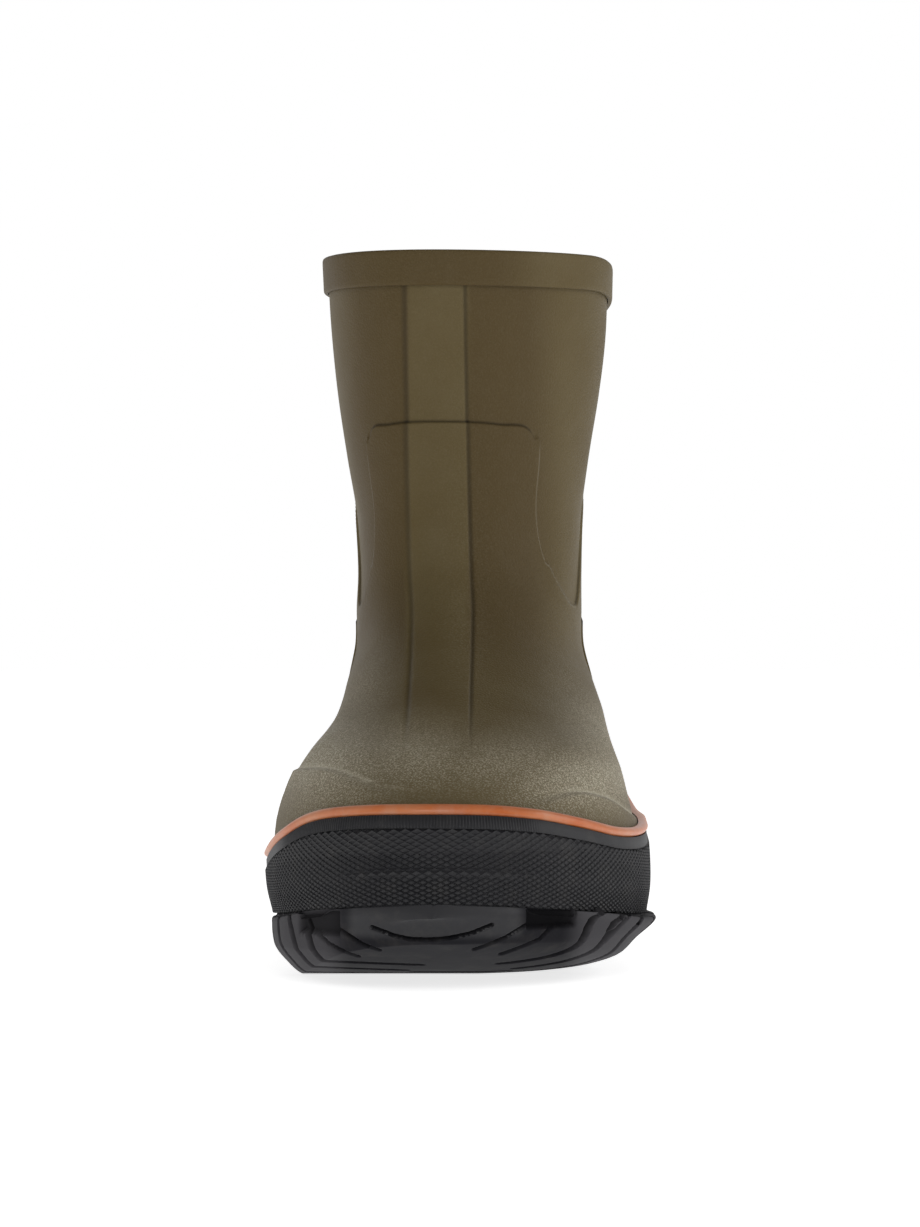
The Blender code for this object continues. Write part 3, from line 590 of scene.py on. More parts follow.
# Painted highlight on the upper, as pale speckle and sheen where the light catches it: place across (share of
# BALL_WIDTH), height (share of FOOT_HEIGHT), their spread and strength
HIGHLIGHT_SPOTS = (
    (-0.37, 0.65, 0.18, 0.13, 1.20), (-0.12, 0.68, 0.18, 0.09, 0.80), (0.33, 0.60, 0.20, 0.09, 1.25),
    (0.40, 0.72, 0.12, 0.18, 0.75), (0.10, 0.66, 0.24, 0.08, 0.65), (-0.28, 0.86, 0.09, 0.25, 0.35),
    (0.34, 1.05, 0.09, 0.35, 0.40), (0.02, 1.20, 0.07, 0.45, 0.12),
)
HIGHLIGHT_SPOTS_END = (0.62, 0.42)

# Tones of the upper, all painted light and shade. Each pair is where a tone is still 0 and where it is full:
# along the boot, up it (shares of SHAFT_HEIGHT) or across it (shares of BALL_WIDTH, from a middle). First the
# painted highlight along the toe cap's edge
CAP_LINE_WIDTH = 0.40 * MM
CAP_LINE_MIDDLE = 0.05
CAP_LINE_SIDES = (0.16, 0.28)
CAP_LINE_END = (0.350, 0.320)

# The foot layer's edge: a painted shadow line over the shin, on the arm that rises to the heel and, weaker,
# at the back; a painted highlight on its upright stretch between
EDGE_TOP = (0.740, 0.754)
EDGE_ARM = (0.668, 0.680)
EDGE_ARM_TOP = (0.600, 0.550)
EDGE_REAR = (0.740, 0.780)
EDGE_REAR_STRENGTH = 0.4
EDGE_PALE_END = (0.700, 0.680)
EDGE_PALE_TOP = (0.735, 0.705)

# Painted shade: browner bands beside the front strip, and the browner part of the collar band
STRIP_MIDDLE = -0.062
BROWN_FROM = (0.075, 0.095)
BROWN_MIDDLE = -0.04
BROWN_TO = (0.36, 0.22)
BROWN_END = (0.72, 0.64)
BROWN_LOW = (0.36, 0.48)
COLLAR_BROWN = (0.30, 0.10)


def turn_stretch(theta, v):
    """Length of the surface round the boot for one radian."""
    ends = surface(theta + TURN_STEP, v) - surface(theta - TURN_STEP, v)
    return np.linalg.norm(ends, axis=-1) / (2.0 * TURN_STEP)


def strip_table(side):
    """Angle of the front strip's edge up the boot, and the surface's length there for one radian."""
    levels = np.linspace(0.0, 1.0, 401)
    theta = strip_angle(levels, side)
    return levels, theta, turn_stretch(theta, levels)


STRIP_TABLES = {side: strip_table(side) for side in (-1, 1)}


def strip_stretch(v, side):
    """Angle of the front strip's edge at places v, and the surface's length there for one radian."""
    levels, theta, stretch = STRIP_TABLES[side]
    return np.interp(v, levels, theta), np.interp(v, levels, stretch)


def column_angles(v):
    """Angles of the upper's columns at places v, which follow both edges of the front strip. The last axis
    runs over the columns, from the back by the inner side and the front to the back again."""
    halves = []
    for side in (-1, 1):
        theta, stretch = strip_stretch(v, side)
        middle = np.abs(theta)
        reach = GROOVE_HALF[side] / stretch
        full = np.full_like(middle, 1.0)
        knots = [0.0 * full]
        knots += [middle + wide * reach for wide in (-3.0, -1.0, 0.0, 1.0, 3.0)]
        knots += [turn * full for turn in (FRONT_TURN, SIDE_TURN, math.pi)]
        halves.append(side * np.moveaxis(spread(knots, COLUMN_COUNTS), 0, -1))
    return np.concatenate((halves[0][..., :0:-1], halves[1]), axis=-1)


def upper_rows(theta):
    """Places up the boot of the upper's rows on each column. They follow the toe cap and the foot layer."""
    hidden = v_at_height(theta, top_of_rand(theta) - PIPING_HEIGHT)

    def over_cap(t, v, rise):
        points = surface(t, v)
        edge = table_curve(TOE_CAP_EDGE, 1, points[..., 0] / BALL_WIDTH) * FOOT_HEIGHT
        soft = table_curve(TOE_CAP_EDGE, 2, points[..., 0] / BALL_WIDTH) * FOOT_HEIGHT
        return points[..., 2] >= edge - (soft if rise < 0.0 else 0.0) + rise

    cap_low = np.clip(find_v(theta, lambda t, v: over_cap(t, v, -CAP_MARGIN)), hidden + ROW_GAP, None)
    cap_high = np.clip(find_v(theta, lambda t, v: over_cap(t, v, CAP_MARGIN)), cap_low + ROW_GAP, None)
    layer = LAYER_EDGE[0][1] * SHAFT_HEIGHT
    under, over = (v_at_height(theta, layer + rise) for rise in (-LAYER_CROWDING, LAYER_CROWDING))
    band = np.full_like(theta, band_low())
    knots = [np.zeros_like(theta), hidden, cap_low, cap_high, under, over, band, np.ones_like(theta)]
    return spread(knots, ROW_COUNTS)


def band_low():
    """Place up the boot of the collar band's lower edge."""
    foot = float(v_at_height(np.array([0.0]), FOOT_HEIGHT)[0])
    return 1.0 - BAND_HEIGHT / (SHAFT_HEIGHT - FOOT_HEIGHT) * (1.0 - foot)


def layer_edge_points():
    """Points close together along the foot layer's edge: by columns at front and back, by steps between."""
    angles = np.linspace(0.0, 2.0 * math.pi, 4801)
    ends = angles[np.abs(np.sin(angles)) < LAYER_ENDS]
    v = v_at_edge(ends, LAYER_EDGE)
    edge = [surface(ends, v)]
    share = np.linspace(LAYER_EDGE[0][0], LAYER_EDGE[-1][0], 20001)
    y = along(share)
    z = table_curve(LAYER_EDGE, 1, share) * SHAFT_HEIGHT
    way = np.concatenate(([0.0], np.cumsum(np.hypot(np.diff(y), np.diff(z)))))
    steps = np.arange(0.0, way[-1], LAYER_EDGE_SPACING)
    y, z = np.interp(steps, way, y), np.interp(steps, way, z)
    theta = np.full_like(y, 0.5 * math.pi)
    for _ in range(5):
        v = v_at_height(theta, z)
        s = section_at(v)
        u = (y - s["front"]) / (s["back"] - s["front"])
        theta = np.arccos(1.0 - 2.0 * np.clip(u, 0.0, 1.0))
    kept = (u > 0.0) & (u < 1.0)
    edge += [surface(side * theta[kept], v[kept]) for side in (-1, 1)]
    return np.concatenate(edge)


def layer_way(points):
    """Way of each point from the foot layer's edge along the surface, positive on the layer."""
    edge = layer_edge_points()
    tree = KDTree(len(edge))
    for index, place in enumerate(edge):
        tree.insert(place, index)
    tree.balance()
    away = np.array([tree.find(place)[2] for place in points.reshape(-1, 3)]).reshape(points.shape[:-1])
    height = table_curve(LAYER_EDGE, 1, share_along(points[..., 1])) * SHAFT_HEIGHT
    return np.where(points[..., 2] < height, away, -away)


def groove_relief(theta, v, points):
    """Depth of the grooves along the front strip, as a height under the surface."""
    shown = fade(points[..., 2] / FOOT_HEIGHT, *GROOVE_FADE)
    relief = np.zeros_like(v)
    for side in (-1, 1):
        line, stretch = strip_stretch(v, side)
        away = np.abs(theta - line) * stretch
        relief -= GROOVE_DEPTH[side] * shown * smooth(1.0 - away / GROOVE_HALF[side])
    return relief


def unevenness(points):
    """Soft unevenness of the moulded rubber."""
    height = sum(strength * np.sin(points @ np.array(turns) + start) for *turns, start, strength in WAVES)
    return UNEVENNESS * height / sum(strength for *turns, strength in WAVES)


def highlight_share(points):
    """Share of painted highlight (pale speckle and sheen) on each place: most on both shoulders of the toe,
    some on the instep's sides.
    """
    x, y, z = np.moveaxis(points, -1, 0)
    share = np.zeros(x.shape)
    for across, up, wide, tall, strength in HIGHLIGHT_SPOTS:
        spot = ((x / BALL_WIDTH - across) / wide) ** 2 + ((z / FOOT_HEIGHT - up) / tall) ** 2
        share = np.maximum(share, strength * np.exp(-spot))
    return share * fade(share_along(y), *HIGHLIGHT_SPOTS_END)


def cap_edge_highlight(points):
    """Painted highlight along the toe cap's upper edge, at its two sides."""
    across = points[..., 0] / BALL_WIDTH
    edge = table_curve(TOE_CAP_EDGE, 1, across) * FOOT_HEIGHT
    side = fade(np.abs(across - CAP_LINE_MIDDLE), *CAP_LINE_SIDES)
    fore = fade(share_along(points[..., 1]), *CAP_LINE_END)
    return side * fore * np.exp(-(((points[..., 2] - edge) / CAP_LINE_WIDTH) ** 2))


def edge_tones(points):
    """Where the layer's edge gets a painted shadow line, and where a painted highlight on its rim."""
    share, height = share_along(points[..., 1]), points[..., 2] / SHAFT_HEIGHT
    arm = fade(share, *EDGE_ARM) * fade(height, *EDGE_ARM_TOP)
    rear = EDGE_REAR_STRENGTH * fade(share, *EDGE_REAR)
    dark = np.maximum(np.maximum(fade(height, *EDGE_TOP), arm), rear)
    return dark, (1.0 - dark) * fade(share, *EDGE_PALE_END) * fade(height, *EDGE_PALE_TOP)


def strip_side_shade(points):
    """Painted shade: browner bands of the shaft on both sides of the front strip."""
    across = points[..., 0] / BALL_WIDTH
    beside = fade(np.abs(across - STRIP_MIDDLE), *BROWN_FROM) * fade(np.abs(across - BROWN_MIDDLE), *BROWN_TO)
    front = fade(share_along(points[..., 1]), *BROWN_END)
    return beside * front * fade(points[..., 2] / SHAFT_HEIGHT, *BROWN_LOW)


def make_upper(skin, lining):
    """Hollow upper: outside with its layers and grooves, rounded rim, and the lined inside."""
    middle = column_angles(np.array(COLUMNS_AT))
    v = upper_rows(middle)
    theta = np.take_along_axis(column_angles(v), np.arange(v.shape[1])[None, :, None], axis=2)[..., 0]
    points = surface(theta, v)
    away = layer_way(points)
    dark, pale = edge_tones(points)
    grooves = groove_relief(theta, v, points)
    relief = LAYER_STEP * smooth(0.5 + away / LAYER_EDGE_WIDTH) + grooves + toe_cap_relief(points)
    relief = relief + unevenness(points) * smooth(v / LEVEL_ENDS) * smooth((1.0 - v) / LEVEL_ENDS)
    outside = points + relief[..., None] * outward(theta, v)
    rim_theta = theta[-1]
    rim = []
    for turn in RIM_TURNS:
        ring = form(rim_theta, 1.0, -UPPER_WALL * turn, False)
        ring[:, 2] += RIM_ROUNDING * UPPER_WALL * math.sin(math.pi * turn)
        rim.append(ring)
    down = np.linspace(1.0, 0.0, INNER_ROWS)[:, None] * np.ones_like(middle)[None, :]
    inside = form(np.broadcast_to(rim_theta, down.shape), down, -UPPER_WALL, False)
    rows = np.concatenate((outside, np.stack(rim), inside, outside[:1]))
    piece = shaped_grid("boot_upper", rows)
    # Masks for painted light and shade; groove is the grooves' depth, which the finish darkens as painted
    # shade
    for name, values, rest in (("layer_way", away, -1.0), ("groove", -grooves / GROOVE_DEPTH[1], 0.0),
                               ("painted_highlight", highlight_share(points), 0.0), ("cap_edge_highlight", cap_edge_highlight(points), 0.0),
                               ("edge_shadow", dark, 0.0), ("edge_highlight", pale, 0.0),
                               ("brown_shade", strip_side_shade(points), 0.0)):
        store(piece, name, values, rest, rows.shape[:2])
    place_piece(piece, skin, "olive_rubber", "upper")
    piece.data.materials.append(lining)
    lined = np.zeros((rows.shape[0] - 1, rows.shape[1] - 1), np.int32)
    lined[len(outside) + len(rim):-1] = 1
    piece.data.polygons.foreach_set("material_index", lined.reshape(-1))
    return close_seams(piece, angle=60.0)


# Rows of the collar band, up its inside, over its rim and down: height (share of the band), reach (share of
# its thickness) and lift over the rim (share of its thickness)
BAND_PROFILE = (
    (0.50, 0.00, 0.00), (0.00, 0.00, 0.00), (0.00, 0.45, 0.00), (0.012, 0.78, 0.00), (0.045, 0.94, 0.00),
    (0.10, 1.00, 0.00), (0.24, 1.00, 0.00), (0.40, 1.00, 0.00), (0.56, 1.00, 0.00), (0.72, 1.00, 0.00),
    (0.86, 1.00, 0.00), (0.95, 0.97, 0.00), (1.00, 0.86, 0.06), (1.00, 0.68, 0.20), (1.00, 0.45, 0.25),
    (1.00, 0.20, 0.20), (1.00, 0.00, 0.05), (0.50, 0.00, 0.00),
)
BAND_COLUMNS = 420


def make_collar_band(skin):
    """Raised band round the collar."""
    theta = round_angles(BAND_COLUMNS)
    low = band_low()
    rows = []
    for up, out, lift in BAND_PROFILE:
        ring = form(theta, mix(low, 1.0, up), mix(CLEARANCE, BAND_THICKNESS, out), False)
        ring[:, 2] += lift * BAND_THICKNESS
        rows.append(ring)
    rows = np.stack(rows)
    piece = shaped_grid("boot_collar_band", rows)
    # Painted shade: the collar band is browner except on its outer side, where more light falls
    store(piece, "brown_shade", fade(rows[..., 0] / BALL_WIDTH, *COLLAR_BROWN), 0.0, rows.shape[:2])
    return place_piece(close_seams(piece), skin, "olive_rubber", "collar_band")


PIPING_COLUMNS = 620
PIPING_ROWS = 14
PIPING_SHOWN = 0.82


def make_piping(skin):
    """Round-faced piping between the rand and the upper."""
    theta = round_angles(PIPING_COLUMNS)
    top = top_of_rand(theta)
    inside = LAYER_STEP + CLEARANCE
    rows = []
    for step in range(PIPING_ROWS + 1):
        turn = math.pi * step / PIPING_ROWS
        v = v_at_height(theta, top - 0.5 * PIPING_SHOWN * PIPING_HEIGHT * (1.0 + math.cos(turn)))
        rows.append(form(theta, v, inside + PIPING_THICKNESS * mix(0.25, 1.0, math.sin(turn))))
    for share in (0.0, 0.5, 1.0):
        rows.append(form(theta, v_at_height(theta, top - share * PIPING_SHOWN * PIPING_HEIGHT), inside))
    rows.append(rows[0])
    piece = close_seams(shaped_grid("boot_piping", np.stack(rows)))
    return place_piece(piece, skin, "orange_rubber", "piping")


# Heel counter: columns on each side, how they crowd towards its two ends, its rows, and its edge's rounding
COUNTER_COLUMNS = 150
COUNTER_CROWDING = 2.2
COUNTER_ROWS = 36
COUNTER_ROUNDING = 0.5 * MM

# Painted shadow along the heel counter's front edge: its strength, and where it is still 0 and where it is
# full
COUNTER_SHADOW = 2.0
COUNTER_SHADOW_END = (0.74, 0.69)


def counter_start():
    """Angle at which the heel counter rises out of the rand on the outer side."""
    theta = np.linspace(0.4, 2.4, 2001)
    bottom = v_at_height(theta, top_of_rand(theta))
    beyond = surface(theta, bottom)[:, 1] > along(COUNTER_EDGE[0][0])
    rises = beyond & (v_at_edge(theta, COUNTER_EDGE) > bottom + 0.001)
    return theta[np.argmax(rises)]


def make_heel_counter(skin):
    """Heel counter: a thin shell over the foot layer, with a rounded edge."""
    start = counter_start()
    share = np.linspace(0.0, 1.0, COUNTER_COLUMNS + 1) ** COUNTER_CROWDING
    half = mix(start, math.pi, share)
    theta = np.concatenate((half, (2.0 * math.pi - half)[-2::-1]))
    low = v_at_height(theta, top_of_rand(theta) + 0.5 * CLEARANCE)
    high = np.maximum(v_at_edge(theta, COUNTER_EDGE), low + 0.0005)
    scale = np.linalg.norm(surface(theta, low + V_STEP) - surface(theta, low), axis=-1) / V_STEP
    inside = LAYER_STEP + 0.3 * CLEARANCE
    outside = LAYER_STEP + CLEARANCE + COUNTER_THICKNESS
    turns = np.linspace(0.0, 0.5 * math.pi, 6)
    rows = []
    for share in np.linspace(0.0, 1.0, COUNTER_ROWS):
        v = mix(low, high - COUNTER_ROUNDING / scale, share)
        rows.append(form(theta, v, mix(inside, outside, end_rounding(half, theta, v))))
    for turn in turns[1:]:
        v = high - COUNTER_ROUNDING / scale * (1.0 - math.sin(turn))
        reach = mix(inside, outside, math.cos(turn) * end_rounding(half, theta, v))
        rows.append(form(theta, v, reach))
    for share in np.linspace(1.0, 0.0, 8):
        rows.append(form(theta, mix(low, high, share), inside - 0.2 * CLEARANCE))
    rows.append(rows[0])
    piece = shaped_grid("boot_heel_counter", np.stack(rows))
    edge = np.zeros((len(rows), len(theta)))
    # Painted shadow on the counter's rounded front edge, kept in the groove attribute
    counter_shadow = COUNTER_SHADOW * fade(share_along(rows[0][:, 1]), *COUNTER_SHADOW_END)
    edge[COUNTER_ROWS - 1:COUNTER_ROWS + len(turns)] = counter_shadow
    store(piece, "groove", edge, 0.0, edge.shape)
    close_seams(piece)
    return place_piece(piece, skin, "olive_rubber", "heel_counter")


def end_rounding(half, theta, v):
    """Share of the full thickness near the counter's two front ends, where it fades in."""
    nearest = np.minimum(np.abs(theta - half[0]), np.abs(theta - (2.0 * math.pi - half[0])))
    return np.sqrt(smooth(nearest * turn_stretch(theta, v) / COUNTER_ROUNDING))


# Net on the rand: length and height of one cell, how far its hollow reaches towards the cords, its depth
NET_LENGTH = 3.0 * MM
NET_HEIGHT = 1.5 * MM
NET_HOLLOW = 0.60
NET_DEPTH = 0.38 * MM

# Ribbed strip over the net: pitch of the ribs, their height, and where they show, as places across the toe
RIB_PITCH = 0.85 * MM
RIB_HEIGHT = 0.24 * MM
RIB_STEPS = 5
RIBS_FROM = -0.45
RIBS_TO = 0.20
RIBS_FADE = 0.06

# The ribbed strip, up its face: height and reach (shares of its own) and how much of the ribs shows
RIB_PROFILE = (
    (0.0, 0.0, 0.0), (0.0, 1.0, 0.0), (0.08, 1.0, 1.0), (0.5, 1.0, 1.0), (0.90, 1.0, 1.0), (1.0, 0.92, 0.0),
    (1.0, 0.0, 0.0),
)


def net_top(theta):
    """Place up the boot of the net's upper edge."""
    return v_at_height(theta, top_of_rand(theta) - PIPING_HEIGHT - CLEARANCE - RIB_STRIP_HEIGHT)


def make_rand(skin):
    """Black rubber wall round the foot, with its net of thin raised cords."""
    outside = LAYER_STEP + CLEARANCE + RAND_THICKNESS
    inside = LAYER_STEP + CLEARANCE
    angles = np.linspace(0.0, 2.0 * math.pi, 721)
    top = net_top(angles)
    cells = arc_angles(0.5 * top, NET_LENGTH)
    count = len(cells) - 1
    edge = surface(angles, top)
    base = surface(angles, 0.0)
    height = np.linalg.norm(edge - base, axis=-1)

    def place(i, j, reach):
        """Point at half cells i round and j up, with rows past the edges pressed onto them."""
        theta = np.interp(np.mod(0.5 * i, count), np.arange(count + 1), cells)
        rise = np.interp(theta, angles, height)
        share = np.clip(j * 0.5 * NET_HEIGHT / rise, 0.0, 1.0)
        return form(theta, share * np.interp(theta, angles, top), reach)

    columns = 2 * count
    levels = int(math.ceil(height.max() / (0.5 * NET_HEIGHT))) + 1
    i, j = np.meshgrid(np.arange(columns), np.arange(-1, levels + 1), indexing="ij")
    knots = ((i + j) % 2 == 0)
    number = np.full(i.shape, -1)
    number[knots] = np.arange(knots.sum())
    points = [place(i[knots].astype(float), j[knots].astype(float), outside)]
    centre_i, centre_j = np.meshgrid(np.arange(columns), np.arange(0, levels), indexing="ij")
    middle = ((centre_i + centre_j) % 2 == 1)
    centre_i = centre_i[middle]
    centre_j = centre_j[middle]
    first = knots.sum()
    faces = []
    corners = []
    hollows = []
    for turn, (di, dj) in enumerate(((1, 0), (0, 1), (-1, 0), (0, -1))):
        corners.append(number[(centre_i + di) % columns, centre_j + dj + 1])
        points.append(place(centre_i + NET_HOLLOW * di, centre_j + NET_HOLLOW * dj, outside - NET_DEPTH))
        hollows.append(first + turn * len(centre_i) + np.arange(len(centre_i)))
    for turn in range(4):
        following = (turn + 1) % 4
        faces.append(np.stack((corners[turn], corners[following], hollows[following], hollows[turn]), axis=1))
    faces.append(np.stack(hollows, axis=1))
    total = sum(len(part) for part in points)
    wall = []
    back = [(share, inside) for share in (1.0, 0.66, 0.33, 0.0)]
    for v, reach in [(1.0, outside)] + back + [(0.0, outside)]:
        theta = np.interp(0.5 * np.arange(columns), np.arange(count + 1), cells)
        wall.append(form(theta, v * np.interp(theta, angles, top), reach))
    for ring in range(len(wall) - 1):
        here = total + ring * columns + np.arange(columns)
        over = np.roll(here, -1)
        faces.append(np.stack((here, here + columns, over + columns, over), axis=1))
    points += wall
    nothing_selected()
    mesh = bpy.data.meshes.new("boot_rand")
    mesh.from_pydata(np.concatenate(points), [], np.concatenate(faces).tolist())
    piece = bpy.data.objects.new("boot_rand", mesh)
    bpy.context.scene.collection.objects.link(piece)
    close_seams(piece, angle=50.0)
    return place_piece(piece, skin, "black_rubber", "rand")


def make_rib_strip(skin):
    """Narrow strip between the net and the piping, ribbed over the toe."""
    top_full = round_angles(720)
    v_mid = net_top(top_full)
    angles = arc_angles(v_mid, RIB_PITCH / RIB_STEPS)
    order = np.arange(len(angles) - 1)
    across = surface(angles[:-1], np.interp(angles[:-1], np.linspace(0, 2 * math.pi, 721), v_mid))
    front = across[:, 1] < 0.0
    place = across[:, 0] / BALL_WIDTH
    ribbed = smooth((place - RIBS_FROM) / RIBS_FADE) * smooth((RIBS_TO - place) / RIBS_FADE) * front
    keep = (ribbed > 0.0) | (order % (3 * RIB_STEPS) == 0)
    theta = angles[:-1][keep]
    wave = 0.5 - 0.5 * np.cos(2.0 * math.pi * order[keep] / RIB_STEPS)
    ribs = RIB_HEIGHT * ribbed[keep] * wave
    theta = np.append(theta, theta[0])
    ribs = np.append(ribs, ribs[0])
    high = top_of_rand(theta) - PIPING_SHOWN * PIPING_HEIGHT - 0.3 * CLEARANCE
    low = top_of_rand(theta) - PIPING_HEIGHT - RIB_STRIP_HEIGHT - CLEARANCE
    outside = LAYER_STEP + CLEARANCE + RAND_THICKNESS - RIB_STRIP_SET_BACK
    inside = LAYER_STEP + CLEARANCE
    rows = []
    for up, out, rib in RIB_PROFILE:
        v = v_at_height(theta, mix(low, high, up))
        rows.append(form(theta, v, mix(inside, outside, out) + rib * ribs))
    rows.append(rows[0])
    piece = close_seams(shaped_grid("boot_rib_strip", np.stack(rows)), angle=50.0)
    return place_piece(piece, skin, "black_rubber", "rand")


# Insole across the boot: place (share of half width), height (share of its thickness)
INSOLE_PROFILE = (
    (-0.98, 0.00), (-1.00, 0.25), (-1.00, 0.75), (-0.985, 0.98), (-0.96, 1.06), (-0.92, 1.04), (-0.80, 0.99),
    (-0.55, 0.96), (-0.25, 0.95), (0.00, 0.95), (0.25, 0.95), (0.55, 0.96), (0.80, 0.99), (0.92, 1.04),
    (0.96, 1.06), (0.985, 0.98), (1.00, 0.75), (1.00, 0.25), (0.98, 0.00), (0.50, 0.00), (0.00, 0.00),
    (-0.50, 0.00),
)

# Glossy crescent of the toe: its two sides, how far back and how low it goes, and its soft edges. Greyer
# flanks of the sole, a painted sheen of the side light: their middle line, and where they are still 0 and
# full across (shares of BALL_WIDTH) and up (shares of the sole's thickness)
SHINE_LEFT = -34.0 * MM
SHINE_RIGHT = 19.5 * MM
SHINE_TO = 0.05
SHINE_EDGE = 4.0 * MM
SHINE_FROM = 14.5 * MM
SHINE_SOFT = 3.0 * MM
FLANKS_MIDDLE = -0.01
FLANKS_FROM = (0.27, 0.35)
FLANKS_UNDER = (1.05, 0.95)

# Fine sole: slices along each of its halves, steps across its walls and floor, where the halves meet, the
# toe's bevel, the depth and softness of the tread's grooves and recesses, and how they fade at the edge
SOLE_SLICES = 365
SOLE_WALL_STEP = 0.50 * MM
SOLE_FLOOR_STEP = 0.62 * MM
SOLE_SPLIT = 0.53
TOE_BEVEL = 7.0 * MM
TOE_BEVEL_RISE = 0.60
TOE_BEVEL_END = (0.20, 0.10)
TREAD_DEPTH = 2.6 * MM
TREAD_EDGE = 0.55 * MM
RECESS_DEPTH = 1.9 * MM
RECESS_EDGE = 0.45 * MM
TREAD_FADE = 0.06
TOE_FADE = 0.02
END_TURN = 0.012


def sole_slices(theta, reach):
    """Half widths of the sole along the boot: y, inner x and outer x for each angle."""
    outer = form(theta, 0.0, reach)
    inner = form(-theta, 0.0, reach)
    return 0.5 * (outer[:, 1] + inner[:, 1]), inner[:, 0], outer[:, 0]


def profile_samples():
    """The sole's profile at fine steps: place across, rise under the ball, rise under the heel."""
    table = np.array(SOLE_PROFILE)
    thickness = SOLE_AT_BALL
    steps = np.hypot(np.diff(table[:, 0]) * 0.5 * BALL_WIDTH, np.diff(table[:, 1]) * thickness)
    knots = np.concatenate(([0.0], np.cumsum(np.maximum(steps, 0.1 * MM))))
    places = [knots[0]]
    for low, high, start, end in zip(knots, knots[1:], table, table[1:]):
        level = min(abs(start[0]), abs(end[0])) < 0.7
        count = max(1, int(round((high - low) / (SOLE_FLOOR_STEP if level else SOLE_WALL_STEP))))
        places += [mix(low, high, (step + 1) / count) for step in range(count)]
    return [curve(knots, table[:, column].tolist(), np.array(places)) for column in range(3)]


def way_to_path(across, up, path):
    """Shortest way from points to a path of straight pieces, both given by two measures."""
    nearest = np.full(across.shape, 1.0)
    for (x0, y0), (x1, y1) in zip(path, path[1:]):
        length = (x1 - x0) ** 2 + (y1 - y0) ** 2
        share = np.clip(((across - x0) * (x1 - x0) + (up - y0) * (y1 - y0)) / length, 0.0, 1.0)
        nearest = np.minimum(nearest, np.hypot(across - mix(x0, x1, share), up - mix(y0, y1, share)))
    return nearest


def tread_depth(points):
    """Depth of the tread's grooves, which are laid out on the ground plan."""
    half = 0.5 * BALL_WIDTH
    x, y = points[..., 0], points[..., 1]
    paths = [((-CENTRE_GROOVE_HALF * half, along(place)), (CENTRE_GROOVE_HALF * half, along(place)))
             for place in CENTRE_GROOVES]
    for near, far, first in CHEVRONS:
        for side in (-1, 1):
            paths.append(((side * first * half, along(near)), (side * GROOVE_REACH * half, along(far))))
    depth = np.zeros(x.shape)
    for path in paths:
        inside = 0.5 * GROOVE_WIDTH - way_to_path(x, y, path)
        depth = np.maximum(depth, smooth(0.5 + 0.5 * inside / TREAD_EDGE))
    return TREAD_DEPTH * depth


def toe_depth(points):
    """Depth of the narrow grooves and recesses on the toe, which are laid out as they look from the front."""
    x, y, z = np.moveaxis(points, -1, 0)
    front = smooth((along(0.16) - y) / (0.02 * BOOT_LENGTH))
    flank = smooth((along(0.34) - y) / (0.02 * BOOT_LENGTH))
    depth = np.zeros(x.shape)
    for half, deep, path in TOE_GROOVES:
        path = [(across * MM, up * MM) for across, up in path]
        way = way_to_path(x, z, path)
        where = flank if abs(path[0][0]) > 0.4 * BALL_WIDTH else front
        depth = np.maximum(depth, deep * where * smooth(1.3 * (1.0 - way / (1.3 * half))))
    for left, right, low, high in TOE_RECESSES:
        inside = np.minimum(np.minimum(x - left, right - x), np.minimum(z - low, high - z))
        depth = np.maximum(depth, RECESS_DEPTH * front * smooth(0.5 + 0.5 * inside / RECESS_EDGE))
    return depth


